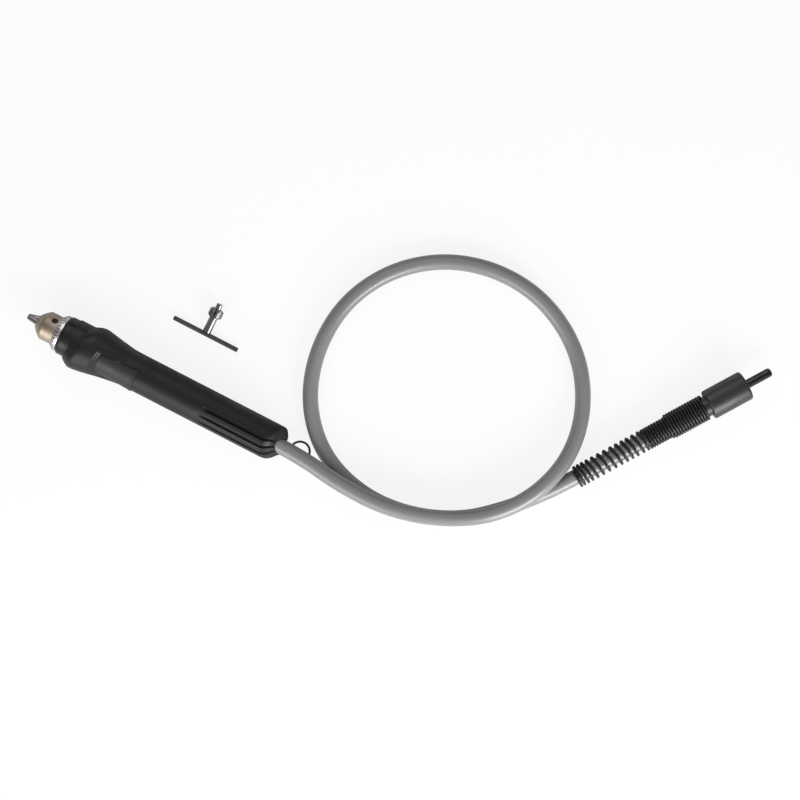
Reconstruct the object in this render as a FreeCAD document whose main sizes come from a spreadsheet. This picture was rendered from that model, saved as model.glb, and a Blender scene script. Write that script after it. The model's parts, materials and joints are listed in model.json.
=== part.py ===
import FreeCAD, Part
import math
import os
import Sketcher
from FreeCAD import Placement, Rotation, Vector

# Flexible-shaft hand tool: a keyed three-jaw chuck on a long spindle in a split plastic handle,
# a hose with a turning core, and a spring-guarded coupling whose shank goes in a drill's chuck.
# Millimetres. The origin is on the spindle's axis at the jaw tips, +X runs back along the handle,
# +Z is up, and the surface that the tool lies on is "axis_height" below the origin.

doc = FreeCAD.newDocument("FlexShaftTool")
sheet = doc.addObject("Spreadsheet::Sheet", "Sizes")

sizes = {
    # where the tool lies
    "axis_height": 16.4,
    # how far a cutting solid runs past what it cuts
    "overrun": 1.0,
    # chuck
    "jaw_reach": 8.8,
    "jaw_radius": 2.4,
    "jaw_slant": 15.0,
    "jaw_tip_radius": 2.2,
    "jaw_tip_bevel": 0.6,
    "jaw_length": 28.6,
    "jaw_play": 0.2,
    "jaw_side_gap": 0.15,
    "grip_radius_closed": 0.75,
    "grip_radius_open": 2.5,
    "jaw_end_gap": 0.45,
    "nose_face_radius": 5.1,
    "nose_length": 7.0,
    "nose_round": 30.0,
    "chuck_radius": 11.7,
    "nut_width": 3.1,
    "nut_side_play": 0.15,
    "nut_radius": 12.6,
    "nut_floor_gap": 0.35,
    "nut_split": 0.3,
    "chuck_back_wall": 2.7,
    "chuck_tail_radius": 12.1,
    "chuck_bore_radius": 3.2,
    "key_hole_radius": 2.55,
    "key_hole_depth": 5.2,
    "key_hole_turn": -35.0,
    "key_mesh": 2.4,
    "sleeve_radius": 14.9,
    "sleeve_face_radius": 12.3,
    "sleeve_bevel": 3.2,
    "sleeve_length": 5.95,
    "sleeve_setback": 6.65,
    "sleeve_lead": 1.2,
    "sleeve_play": 0.25,
    "sleeve_lip": 1.4,
    "sleeve_teeth": 33,
    "sleeve_tooth_size": 1.0,
    "sleeve_edge": 0.5,
    # spindle and bearings
    "stud_radius": 3.5,
    "stud_length": 8.0,
    "flange_length": 2.2,
    "flange_radius": 5.6,
    "spindle_radius": 4.0,
    "spindle_tail": 7.0,
    "socket_radius": 2.05,
    "socket_depth": 8.0,
    "bearing_radius": 11.0,
    "bearing_width": 7.0,
    "race_pitch_radius": 7.5,
    "ball_radius": 1.98,
    "ball_play": 0.12,
    "race_outer_bore": 9.1,
    "race_inner_radius": 5.9,
    "ball_count": 7,
    "cage_thickness": 0.8,
    "cage_width": 4.9,
    "spacer_wall": 1.4,
    "circlip_width": 1.0,
    "circlip_depth": 0.4,
    "circlip_radius": 5.4,
    "circlip_gap": 3.0,
    # handle
    "chuck_gap": 0.4,
    "cap_radius": 16.05,
    "cap_length": 6.85,
    "cap_face": 2.0,
    "cap_bore_radius": 12.8,
    "cap_round": 0.9,
    "spigot_radius": 14.4,
    "spigot_root": 1.0,
    "bearing_lip_radius": 9.6,
    "handle_length": 185.1,
    "grip_radius": 14.87,
    "rear_round": 6.5,
    "rear_slope_length": 13.0,
    "front_cavity_radius": 9.2,
    "front_cavity_length": 68.0,
    "main_cavity_radius": 11.8,
    "rear_bearing_inset": 46.9,
    "rear_cavity_radius": 8.2,
    "rest_start": 28.6,
    "rest_length": 30.7,
    "rest_radius": 15.25,
    "rest_root_radius": 12.9,
    "rest_play": 0.1,
    "rest_lip": 0.75,
    "rest_lip_length": 3.2,
    "rest_span": 88.0,
    "rest_parting_gap": 6.0,
    "groove_length": 66.0,
    "groove_radius": 1.1,
    "groove_depth": 1.0,
    "groove_turn": 3.5,
    "groove_step": 25.5,
    # handle screws
    "screw_radius": 1.25,
    "screw_head_radius": 2.4,
    "screw_head_height": 1.8,
    "screw_head_play": 0.1,
    "screw_slot_share": 0.6,
    "screw_head_seat": 5.2,
    "screw_reach": 6.0,
    "screw_front": 15.1,
    "screw_middle": 64.0,
    "screw_rear_inset": 26.6,
    "screw_front_side": 12.4,
    "screw_rear_side": 11.4,
    "screw_slot": 0.7,
    # hanging ring and its lug
    "lug_width": 9.0,
    "lug_length": 10.0,
    "lug_top": 8.6,
    "ear_width": 2.4,
    "ear_reach": 8.0,
    "ear_round": 3.2,
    "ear_drop": 12.2,
    "ear_hole_radius": 1.15,
    "ear_side": 2.4,
    "ring_radius": 7.8,
    "ring_wire_radius": 0.9,
    # hose, liner and core
    "hose_radius": 6.15,
    "hose_bore_radius": 4.25,
    "liner_radius": 4.2,
    "liner_bore_radius": 3.3,
    "core_radius": 2.5,
    "hose_inset": 20.0,
    "hose_lift": 0.05,
    "ferrule_wall": 1.75,
    "ferrule_length": 9.3,
    "ferrule_rim": 2.0,
    "ferrule_rim_width": 3.0,
    "throat_gap": 0.2,
    "core_tip_radius": 2.0,
    "core_tip_length": 7.6,
    "core_gap": 0.3,
    # coupling
    "coupling_x": 437.9,
    "coupling_y": 82.8,
    "coupling_turn": 55.95,
    "wire_radius": 1.16,
    "coil_radius": 7.84,
    "wide_coil_radius": 9.44,
    "coil_play": 0.05,
    "open_coil_pitch": 5.3,
    "open_coil_length": 63.6,
    "closed_coil_pitch": 2.42,
    "closed_coil_length": 19.36,
    "wide_coil_length": 33.88,
    "connector_radius": 12.0,
    "connector_length": 33.5,
    "connector_edge": 1.4,
    "connector_round": 2.0,
    "connector_neck": 2.2,
    "connector_lip": 2.4,
    "connector_bore_radius": 9.9,
    "ferrule_head": 3.0,
    "ferrule_head_radius": 9.6,
    "plug_length": 6.5,
    "bush_radius": 5.4,
    "bush_rim_radius": 7.4,
    "bush_rim_width": 1.4,
    "bush_play": 0.04,
    "journal_radius": 3.8,
    "journal_reach": 0.5,
    "shank_radius": 3.6,
    "shank_reach": 22.0,
    "shank_edge": 2.2,
    "shank_collar_radius": 6.4,
    "shank_collar_length": 5.0,
    "shank_tail": 4.0,
    "washer_width": 0.8,
    # chuck key
    "key_x": 128.05,
    "key_y": 50.8,
    "key_bar_radius": 1.85,
    "key_bar_length": 56.5,
    "key_bar_edge": 0.5,
    "key_shank_radius": 3.25,
    "key_shank_length": 14.8,
    "key_spigot_radius": 0.9,
    "key_spigot_reach": 1.55,
    "pinion_radius": 5.7,
    "pinion_length": 7.2,
    "pinion_bevel": 1.3,
    "pinion_teeth": 9,
    "pinion_tooth_size": 1.7,
    "pilot_radius": 2.45,
    "pilot_length": 4.5,
    "pilot_edge": 0.4,
}

# The front of the handle: distance behind its front edge, sideways shift and radius of each
# round section. The guard leans, so it starts further forward on one side than on the other.
guard_sections = {
    "neck": (0.0, -0.75, 16.75),
    "low_crest": (8.7, -2.65, 18.7),
    "crest": (17.3, -1.0, 19.35),
    "fall": (28.2, 0.0, 18.6),
    "taper": (40.7, 0.0, 16.4),
}
for name, (along, shift, radius) in guard_sections.items():
    sizes[name + "_along"] = along
    sizes[name + "_shift"] = shift
    sizes[name + "_radius"] = radius
sizes["grip_along"] = 52.0

for row, (alias, value) in enumerate(sizes.items(), start=1):
    sheet.set("A%d" % row, alias)
    sheet.set("B%d" % row, repr(value))
    sheet.setAlias("B%d" % row, alias)
doc.recompute()


def size(alias):
    return float(sheet.get(alias))


def total(*parts):
    """Sum of sheet cells, written as an expression; a leading minus takes a cell away."""
    text = ""
    for part in parts:
        sign = " - " if part.startswith("-") else " + "
        name = part.lstrip("-")
        term = name if ("Sizes" in name or name.replace(".", "").isdigit()) else "Sizes." + name
        text += (sign if text or sign == " - " else "") + "(" + term + ")"
    return text.strip()


def value_of(expression):
    result = sheet.evalExpression(expression)
    return float(getattr(result, "Value", result))


# ---------------------------------------------------------------- places along the handle axis
nose_face = total("jaw_reach")
nose_end = total(nose_face, "nose_length")
jaw_tangent = "tan(Sizes.jaw_slant)"
jaw_travel = "(Sizes.grip_radius_open - Sizes.grip_radius_closed) / %s" % jaw_tangent
jaw_bore_end = "Sizes.jaw_length + %s + Sizes.jaw_end_gap" % jaw_travel
chuck_rear = "%s + Sizes.chuck_back_wall" % jaw_bore_end
sleeve_rear = total(chuck_rear, "-sleeve_setback")
sleeve_front = total(sleeve_rear, "-sleeve_length")
nut_slot_front = total(sleeve_front, "sleeve_lead")
nut_front = total(nut_slot_front, "nut_side_play")
nut_rear = total(nut_front, "nut_width")
nut_slot_rear = total(nut_rear, "nut_side_play")
cap_front = total(sleeve_rear, "chuck_gap")
cap_inner = total(cap_front, "cap_face")
handle_front = total(cap_front, "cap_length")
front_bearing = total(chuck_rear, "flange_length")
front_bearing_rear = total(front_bearing, "bearing_width")
handle_rear = total(handle_front, "handle_length")
rear_bearing_rear = total(handle_rear, "-rear_bearing_inset")
rear_bearing = total(rear_bearing_rear, "-bearing_width")
clip_front = rear_bearing_rear
clip_rear = total(clip_front, "circlip_width")
spindle_rear = total(clip_rear, "spindle_tail")
hose_front = total(handle_rear, "-hose_inset")
jaw_half_cut = "Sizes.jaw_radius / cos(Sizes.jaw_slant)"


def body_of(label):
    body = doc.addObject("PartDesign::Body", label)
    body.Label = label
    return body


def plane_of(body, role):
    return [item for item in body.Origin.OriginFeatures if item.Role == role][0]


def sketch_on(body, role, name):
    sketch = body.newObject("Sketcher::SketchObject", name)
    sketch.AttachmentSupport = [(plane_of(body, role), "")]
    sketch.MapMode = "FlatFace"
    return sketch


def draw_outline(sketch, corners):
    """Closed outline. A corner is (across, up) or (across, up, radius): the radius, positive
    when the arc bulges to the right of the way round, rounds the side that leaves the corner."""
    spots = [Vector(value_of(corner[0]), value_of(corner[1]), 0) for corner in corners]
    count = len(corners)
    ends = []
    for index, corner in enumerate(corners):
        start = spots[index]
        end = spots[(index + 1) % count]
        if len(corner) == 2:
            sketch.addGeometry(Part.LineSegment(start, end), False)
            ends.append((1, 2))
            continue
        radius = abs(value_of(corner[2]))
        turn = 1 if value_of(corner[2]) > 0 else -1
        chord = end - start
        inward = Vector(-chord.y, chord.x, 0).normalize() * turn
        centre = (start + end) * 0.5 + inward * math.sqrt(max(radius ** 2 - (chord.Length / 2) ** 2, 0))
        first, last = (start - centre, end - centre) if turn > 0 else (end - centre, start - centre)
        circle = Part.Circle(centre, Vector(0, 0, 1), radius)
        sketch.addGeometry(Part.ArcOfCircle(circle, math.atan2(first.y, first.x),
                                            math.atan2(last.y, last.x)), False)
        ends.append((1, 2) if turn > 0 else (2, 1))
    for index in range(count):
        following = (index + 1) % count
        sketch.addConstraint(Sketcher.Constraint("Coincident", index, ends[index][1],
                                                 following, ends[following][0]))
    for index, corner in enumerate(corners):
        for kind, place, text in (("DistanceX", spots[index].x, corner[0]),
                                  ("DistanceY", spots[index].y, corner[1])):
            number = sketch.addConstraint(Sketcher.Constraint(kind, -1, 1, index,
                                                              ends[index][0], place))
            sketch.setExpression("Constraints[%d]" % number, text)
        if len(corner) == 3:
            radius = abs(value_of(corner[2]))
            number = sketch.addConstraint(Sketcher.Constraint("Radius", index, radius))
            sketch.setExpression("Constraints[%d]" % number, "abs(%s)" % corner[2])


def turned(label, outline, angle=None):
    """Body turned about its X axis from an outline of (along, radius) corners."""
    body = body_of(label)
    sketch = sketch_on(body, "XZ_Plane", label + "_outline")
    draw_outline(sketch, outline)
    feature = body.newObject("PartDesign::Revolution", label + "_turned")
    feature.Profile = sketch
    feature.ReferenceAxis = (sketch, ["H_Axis"])
    feature.Angle = 360
    if angle:
        feature.setExpression("Angle", angle)
    body.Tip = feature
    return body


def rod(label, start, length, radius, aside=None, up=None):
    """Cylinder along +X."""
    solid = doc.addObject("Part::Cylinder", label)
    solid.Placement = Placement(Vector(0, 0, 0), Rotation(Vector(0, 1, 0), 90))
    solid.setExpression("Radius", radius)
    solid.setExpression("Height", length)
    solid.setExpression("Placement.Base.x", start)
    if aside:
        solid.setExpression("Placement.Base.y", aside)
    if up:
        solid.setExpression("Placement.Base.z", up)
    return solid


def block(label, low, extent):
    """Box from its low corner and its length, width and height, all expressions."""
    solid = doc.addObject("Part::Box", label)
    for name, text in zip(("Length", "Width", "Height"), extent):
        solid.setExpression(name, text)
    for name, text in zip("xyz", low):
        solid.setExpression("Placement.Base." + name, text)
    return solid


def cut(label, base, tools):
    result = doc.addObject("Part::Cut", label)
    result.Label = label
    result.Base = base
    result.Tool = tools[0] if len(tools) == 1 else joined(label + "_tools", tools)
    return result


def joined(label, solids):
    result = doc.addObject("Part::MultiFuse", label)
    result.Label = label
    result.Shapes = solids
    return result


def shared(label, base, tool):
    result = doc.addObject("Part::Common", label)
    result.Label = label
    result.Base = base
    result.Tool = tool
    return result


def group(label, solids):
    result = doc.addObject("Part::Compound", label)
    result.Label = label
    result.Links = solids
    return result


def spun(label, source, angle):
    """Copy of a solid turned about +X: angle 0 leaves +Z up, positive leans towards -Y."""
    copy = doc.addObject("Part::Compound", label)
    copy.Label = label
    copy.Links = [source]
    copy.Placement = Placement(Vector(0, 0, 0), Rotation(Vector(1, 0, 0), angle))
    return copy


# ---------------------------------------------------------------- chuck
def jaw_rod(label, radius, start, length):
    """Round bar on a jaw's slanted axis, in the plane y = 0, above the spindle axis."""
    solid = doc.addObject("Part::Cylinder", label)
    turn = Rotation(Vector(0, 1, 0), 90 - size("jaw_slant"))
    solid.Placement = Placement(Vector(0, 0, 0), turn)
    solid.setExpression("Radius", radius)
    solid.setExpression("Height", length)
    solid.setExpression("Placement.Base.x", start)
    solid.setExpression("Placement.Base.z", "Sizes.jaw_tip_radius - %s + (%s) * %s"
                        % (jaw_half_cut, start, jaw_tangent))
    return solid


def make_jaws():
    """Three jaws: slanted round bars that meet on flats, with a round land down the middle."""
    bar = jaw_rod("jaw_bar", "Sizes.jaw_radius", "0 - 3 * Sizes.jaw_radius",
                  "Sizes.jaw_length + 6 * Sizes.jaw_radius")
    sector = body_of("jaw_sector")
    sketch = sketch_on(sector, "YZ_Plane", "jaw_sector_outline")
    foot = "Sizes.jaw_side_gap / sin(60)"
    wide = "4 * Sizes.chuck_radius"
    draw_outline(sketch, [("0", foot), (wide, "%s + %s / tan(60)" % (foot, wide)),
                          ("-(%s)" % wide, "%s + %s / tan(60)" % (foot, wide))])
    pad = sector.newObject("PartDesign::Pad", "jaw_sector_pad")
    pad.Profile = sketch
    pad.setExpression("Length", "Sizes.jaw_length")
    sector.Tip = pad
    wedge = shared("jaw_wedge", bar, sector)
    land = rod("jaw_land", "0 - Sizes.overrun", "Sizes.jaw_length + 2 * Sizes.overrun",
               "Sizes.grip_radius_closed")
    blank = cut("jaw_blank", wedge, [land])
    bevel = turned("jaw_bevel", [
        ("0", "0"), ("0", "Sizes.jaw_tip_radius - Sizes.jaw_tip_bevel"),
        ("Sizes.jaw_tip_bevel", "Sizes.jaw_tip_radius + Sizes.jaw_tip_bevel * %s" % jaw_tangent),
        ("Sizes.jaw_tip_bevel", "2 * Sizes.chuck_radius"),
        ("Sizes.jaw_length", "2 * Sizes.chuck_radius"), ("Sizes.jaw_length", "0")])
    shaped = shared("jaw_shaped", blank, bevel)
    return [spun("jaw_%d" % (number + 1), shaped, size("key_hole_turn") + 60 + 120 * number)
            for number in range(3)]


def jaw_outer(place):
    return "Sizes.jaw_tip_radius + (%s) * %s" % (place, jaw_tangent)


def make_chuck_body():
    bore = "Sizes.chuck_bore_radius"
    outside = "Sizes.chuck_radius"
    floor = "%s - Sizes.nut_floor_gap" % jaw_outer(nut_slot_front)
    stud_front = total(chuck_rear, "-stud_length")
    blank = turned("chuck_blank", [
        (nose_face, bore), (nose_face, "Sizes.nose_face_radius", "-Sizes.nose_round"),
        (nose_end, outside), (nut_slot_front, outside), (nut_slot_front, floor),
        (nut_slot_rear, floor), (nut_slot_rear, "Sizes.chuck_tail_radius"),
        (chuck_rear, "Sizes.chuck_tail_radius"),
        (chuck_rear, "Sizes.stud_radius"), (stud_front, "Sizes.stud_radius"),
        (stud_front, bore)])
    bore_rod = jaw_rod("jaw_bore", total("jaw_radius", "jaw_play"), "0 - 2 * Sizes.jaw_radius",
                       "(%s + 4 * Sizes.jaw_radius) / cos(Sizes.jaw_slant)" % jaw_bore_end)
    rear_stop = rod("jaw_bore_stop", "0 - 3 * Sizes.jaw_radius",
                    "%s + 3 * Sizes.jaw_radius" % jaw_bore_end, "2 * Sizes.chuck_radius")
    jaw_bore = shared("jaw_bore_cut", bore_rod, rear_stop)
    key_hole = doc.addObject("Part::Cylinder", "key_hole")
    key_hole.setExpression("Radius", "Sizes.key_hole_radius")
    key_hole.setExpression("Height", "2 * Sizes.key_hole_depth")
    key_hole.setExpression("Placement.Base.x", total(sleeve_front, "key_mesh", "-pinion_radius"))
    key_hole.setExpression("Placement.Base.z", "Sizes.chuck_radius - Sizes.key_hole_depth")
    tools = []
    for number in range(3):
        turn = size("key_hole_turn") + 120 * number
        tools.append(spun("jaw_bore_%d" % number, jaw_bore, turn + 60))
        tools.append(spun("key_hole_%d" % number, key_hole, turn))
    return cut("chuck_body", blank, tools)


def make_chuck_sleeve():
    """Ring gear sleeve: a bevelled front face with teeth, pressed on the nut, with a rear lip."""
    inside = total("chuck_radius", "sleeve_play")
    lip_inside = total("chuck_tail_radius", "sleeve_play")
    outer = "Sizes.sleeve_radius"
    lip_front = total(sleeve_rear, "-sleeve_lip")
    face_back = total(sleeve_front, "sleeve_bevel")
    blank = turned("sleeve_blank", [
        (sleeve_front, inside), (sleeve_front, "Sizes.sleeve_face_radius"), (face_back, outer),
        (total(sleeve_rear, "-sleeve_edge"), outer), (sleeve_rear, total("sleeve_radius", "-sleeve_edge")),
        (sleeve_rear, lip_inside), (lip_front, lip_inside), (lip_front, "Sizes.nut_radius"),
        (nut_front, "Sizes.nut_radius"), (nut_front, inside)])
    notch = doc.addObject("Part::Prism", "tooth_notch")
    notch.Polygon = 3
    notch.setExpression("Circumradius", "Sizes.sleeve_tooth_size")
    notch.setExpression("Height", "3 * Sizes.sleeve_bevel")
    lean = math.degrees(math.atan2(size("sleeve_bevel"),
                                   size("sleeve_radius") - size("sleeve_face_radius")))
    notch.Placement = Placement(Vector(0, 0, 0), Rotation(Vector(0, 1, 0), lean))
    notch.setExpression("Placement.Base.x", "%s - Sizes.sleeve_bevel" % sleeve_front)
    notch.setExpression("Placement.Base.z", "2 * Sizes.sleeve_face_radius - Sizes.sleeve_radius")
    count = int(size("sleeve_teeth"))
    notches = [spun("notch_%d" % number, notch, 360.0 * number / count) for number in range(count)]
    return cut("chuck_sleeve", blank, [group("notches", notches)])


def make_split_nut():
    """Nut ring in two halves round the jaws, with a cone inside that clears their backs."""
    clear = "Sizes.nut_floor_gap"
    ring = turned("nut_ring", [
        (nut_front, "%s + %s" % (jaw_outer(nut_front), clear)), (nut_front, "Sizes.nut_radius"),
        (nut_rear, "Sizes.nut_radius"), (nut_rear, "%s + %s" % (jaw_outer(nut_rear), clear))])
    slit_low = (total(nut_front, "-overrun"), "0 - Sizes.nut_split / 2", "0 - 2 * Sizes.nut_radius")
    slit = block("nut_slit", slit_low, ("Sizes.nut_width + 2 * Sizes.overrun", "Sizes.nut_split",
                                        "4 * Sizes.nut_radius"))
    return cut("split_nut", ring, [slit])


# ---------------------------------------------------------------- spindle and bearings
def make_spindle():
    outer = "Sizes.spindle_radius"
    groove = total("spindle_radius", "-circlip_depth")
    socket = total(spindle_rear, "-socket_depth")
    return turned("spindle", [
        (total(chuck_rear, "-stud_length"), "0"), (total(chuck_rear, "-stud_length"), "Sizes.stud_radius"),
        (chuck_rear, "Sizes.stud_radius"), (chuck_rear, "Sizes.flange_radius"),
        (front_bearing, "Sizes.flange_radius"), (front_bearing, outer), (clip_front, outer),
        (clip_front, groove), (clip_rear, groove), (clip_rear, outer), (spindle_rear, outer),
        (spindle_rear, "Sizes.socket_radius"), (socket, "Sizes.socket_radius"), (socket, "0")])


def make_bearing(place, start):
    """Ball bearing as four nodes: outer race, inner race, balls and their cage."""
    middle = "%s + Sizes.bearing_width / 2" % start
    track = doc.addObject("Part::Torus", place + "_track")
    track.Placement = Placement(Vector(0, 0, 0), Rotation(Vector(0, 1, 0), 90))
    track.setExpression("Radius1", "Sizes.race_pitch_radius")
    track.setExpression("Radius2", total("ball_radius", "ball_play"))
    track.setExpression("Placement.Base.x", middle)
    width = "Sizes.bearing_width"
    outer = cut(place + "_bearing_outer_race",
                rod(place + "_outer", start, width, "Sizes.bearing_radius"),
                [rod(place + "_outer_bore", start, width, "Sizes.race_outer_bore"), track])
    inner = cut(place + "_bearing_inner_race",
                rod(place + "_inner", start, width, "Sizes.race_inner_radius"),
                [rod(place + "_inner_bore", start, width, "Sizes.spindle_radius"), track])
    count = int(size("ball_count"))
    balls = []
    pockets = []
    for number in range(count):
        angle = 2 * math.pi * number / count
        for kind, radius, made in (("ball", "Sizes.ball_radius", balls),
                                   ("pocket", total("ball_radius", "ball_play"), pockets)):
            ball = doc.addObject("Part::Sphere", "%s_%s_%d" % (place, kind, number))
            ball.setExpression("Radius", radius)
            ball.setExpression("Placement.Base.x", middle)
            ball.setExpression("Placement.Base.y", "%.9f * Sizes.race_pitch_radius" % math.sin(angle))
            ball.setExpression("Placement.Base.z", "%.9f * Sizes.race_pitch_radius" % math.cos(angle))
            made.append(ball)
    cage_start = "%s - Sizes.cage_width / 2" % middle
    half = "Sizes.cage_thickness / 2"
    cage = cut(place + "_bearing_cage",
               rod(place + "_cage_outer", cage_start, "Sizes.cage_width",
                   "Sizes.race_pitch_radius + %s" % half),
               [rod(place + "_cage_bore", cage_start, "Sizes.cage_width",
                    "Sizes.race_pitch_radius - %s" % half)] + pockets)
    return [outer, inner, group(place + "_bearing_balls", balls), cage]


def make_spacer():
    """Tube on the spindle that holds the two inner races apart."""
    outer = total("spindle_radius", "spacer_wall")
    inner = "Sizes.spindle_radius"
    return turned("bearing_spacer", [(front_bearing_rear, inner), (front_bearing_rear, outer),
                                     (rear_bearing, outer), (rear_bearing, inner)])


def make_circlip():
    """Open retaining ring in the spindle's groove, behind the rear bearing."""
    inner = total("spindle_radius", "-circlip_depth")
    ring = turned("circlip_ring", [(clip_front, inner), (clip_front, "Sizes.circlip_radius"),
                                   (clip_rear, "Sizes.circlip_radius"), (clip_rear, inner)])
    gap = block("circlip_opening", (total(clip_front, "-overrun"), "0 - Sizes.circlip_gap / 2", "0"),
                ("Sizes.circlip_width + 2 * Sizes.overrun", "Sizes.circlip_gap",
                 "2 * Sizes.circlip_radius"))
    return cut("circlip", ring, [gap])


def make_front_core_tip():
    """Squared steel end of the core, held in the spindle's socket."""
    start = total(spindle_rear, "-core_tip_length")
    return turned("front_core_tip", [(start, "0"), (start, "Sizes.core_tip_radius"),
                                     (spindle_rear, "Sizes.core_tip_radius"), (spindle_rear, "0")])


# ---------------------------------------------------------------- handle
def make_nose_cap():
    """Shiny ring that closes the handle's front and holds its halves together."""
    outer = "Sizes.cap_radius"
    return turned("nose_cap", [
        (cap_front, "Sizes.cap_bore_radius"),
        (cap_front, total("cap_radius", "-cap_round"), "-Sizes.cap_round"),
        (total(cap_front, "cap_round"), outer), (handle_front, outer),
        (handle_front, "Sizes.spigot_radius"), (cap_inner, "Sizes.spigot_radius"),
        (cap_inner, "Sizes.cap_bore_radius")])


def make_handle_form():
    """Outside of the handle: lofted leaning guard, straight grip and a rounded rear end."""
    body = body_of("handle_form")
    sketches = []
    stations = [(name, "Sizes.%s_along" % name, "Sizes.%s_shift" % name, "Sizes.%s_radius" % name)
                for name in guard_sections]
    stations.append(("grip", "Sizes.grip_along", "0", "Sizes.grip_radius"))
    for name, along, shift, radius in stations:
        sketch = sketch_on(body, "YZ_Plane", "section_" + name)
        sketch.setExpression("AttachmentOffset.Base.z", "%s + %s" % (handle_front, along))
        middle = Vector(value_of(shift), 0, 0)
        sketch.addGeometry(Part.Circle(middle, Vector(0, 0, 1), value_of(radius)), False)
        sketch.addConstraint(Sketcher.Constraint("PointOnObject", 0, 3, -1))
        number = sketch.addConstraint(Sketcher.Constraint("Radius", 0, value_of(radius)))
        sketch.setExpression("Constraints[%d]" % number, radius)
        if shift == "0" or value_of(shift) == 0:
            sketch.addConstraint(Sketcher.Constraint("PointOnObject", 0, 3, -2))
        else:
            number = sketch.addConstraint(Sketcher.Constraint("DistanceX", -1, 1, 0, 3, value_of(shift)))
            sketch.setExpression("Constraints[%d]" % number, shift)
        sketches.append(sketch)
    loft = body.newObject("PartDesign::AdditiveLoft", "handle_guard")
    loft.Profile = sketches[0]
    loft.Sections = sketches[1:]
    pad = body.newObject("PartDesign::Pad", "handle_grip")
    pad.Profile = sketches[-1]
    pad.setExpression("Length", total("handle_length", "-grip_along"))
    body.Tip = pad
    doc.recompute()
    edges = ["Edge%d" % (index + 1) for index, edge in enumerate(pad.Shape.Edges)
             if abs(edge.CenterOfMass.x - value_of(handle_rear)) < 0.01]
    fillet = body.newObject("PartDesign::Fillet", "handle_rear_round")
    fillet.Base = (pad, edges)
    fillet.setExpression("Radius", "Sizes.rear_round")
    body.Tip = fillet
    return body


def make_cavity():
    """Hollow inside the handle: bearing seats, free space and the seat of the hose's ferrule."""
    ferrule = total("hose_radius", "ferrule_wall")
    rim = total("hose_radius", "ferrule_wall", "ferrule_rim")
    rim_front = total(hose_front, "ferrule_length", "-ferrule_rim_width")
    rim_rear = total(hose_front, "ferrule_length")
    throat = total("hose_radius", "throat_gap")
    seat = "Sizes.bearing_radius"
    waist = "Sizes.front_cavity_radius"
    step = total(front_bearing_rear, "front_cavity_length")
    return turned("handle_cavity", [
        (total(cap_inner, "-overrun"), "0"), (total(cap_inner, "-overrun"), "Sizes.cap_bore_radius"),
        (handle_front, "Sizes.cap_bore_radius"), (handle_front, "Sizes.bearing_lip_radius"),
        (front_bearing, "Sizes.bearing_lip_radius"), (front_bearing, seat), (front_bearing_rear, seat),
        (front_bearing_rear, waist), (step, waist), (step, "Sizes.main_cavity_radius"),
        (rear_bearing, "Sizes.main_cavity_radius"), (rear_bearing, seat), (rear_bearing_rear, seat),
        (rear_bearing_rear, "Sizes.rear_cavity_radius"), (hose_front, "Sizes.rear_cavity_radius"),
        (hose_front, ferrule), (rim_front, ferrule), (rim_front, rim), (rim_rear, rim),
        (rim_rear, throat), ("%s + 2 * Sizes.ear_reach" % handle_rear, throat),
        ("%s + 2 * Sizes.ear_reach" % handle_rear, "0")])


rest_front = total(handle_front, "rest_start")
rest_rear = total(rest_front, "rest_length")


def make_rest(label, play, lift):
    """Part of a ring that fills the thumb rest's pocket; play widens it into the pocket's cut."""
    front = "%s - %s" % (rest_front, play)
    rear = "%s + %s" % (rest_rear, play)
    top = "Sizes.rest_radius + %s" % lift
    lip = "Sizes.rest_radius + Sizes.rest_lip + %s" % lift
    return turned(label, [
        (front, "Sizes.rest_root_radius - %s" % play), (front, top),
        ("%s - Sizes.rest_lip_length" % rear, top), ("%s - Sizes.rest_lip / 2" % rear, lip),
        (rear, "%s - Sizes.rest_lip / 2" % lip), (rear, "Sizes.rest_root_radius - %s" % play)],
        angle="Sizes.rest_span + 2 * %s" % play)


def make_thumb_rests():
    """Two saddle-shaped rests, one in each half of the handle, on the guard's forward side."""
    blank = make_rest("rest_blank", "0", "0")
    pocket = make_rest("rest_pocket", "Sizes.rest_play", "Sizes.rest_radius")
    near = 90 - size("rest_parting_gap")
    far = 90 + size("rest_parting_gap")
    rests = []
    pockets = []
    for label, turn in (("upper_thumb_rest", near - size("rest_span")), ("lower_thumb_rest", far)):
        rests.append(spun(label, blank, turn))
        pockets.append(spun(label + "_pocket", pocket, turn))
    return rests, pockets


def make_grooves():
    """Long half-round grooves along the rear of the grip, running out over the rear corner."""
    lines = []
    depth = "Sizes.grip_radius + Sizes.groove_radius - Sizes.groove_depth"
    bar = rod("groove_bar", "%s - Sizes.groove_length - Sizes.rear_round / 2" % handle_rear,
              "Sizes.groove_length + Sizes.rear_round", "Sizes.groove_radius", up=depth)
    for number in range(3):
        turn = size("groove_turn") + size("groove_step") * number
        lines.append(spun("groove_%d" % number, bar, turn))
        lines.append(spun("groove_%d_below" % number, bar, 180 - turn))
    return lines


# name, distance along and distance to the side of each pair of screws
screw_places = (("front_screw", total(handle_front, "screw_front"), "screw_front_side"),
                ("middle_screw", total(handle_front, "screw_middle"), "screw_rear_side"),
                ("rear_screw", total(handle_rear, "-screw_rear_inset"), "screw_rear_side"))


def screw_part(label, place, side, sign, radius, low, high):
    """Upright cylinder between two heights at a screw's place."""
    solid = doc.addObject("Part::Cylinder", label)
    solid.setExpression("Radius", radius)
    solid.setExpression("Height", "(%s) - (%s)" % (high, low))
    solid.setExpression("Placement.Base.x", place)
    solid.setExpression("Placement.Base.y", "%d * Sizes.%s" % (sign, side))
    solid.setExpression("Placement.Base.z", low)
    return solid


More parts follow.
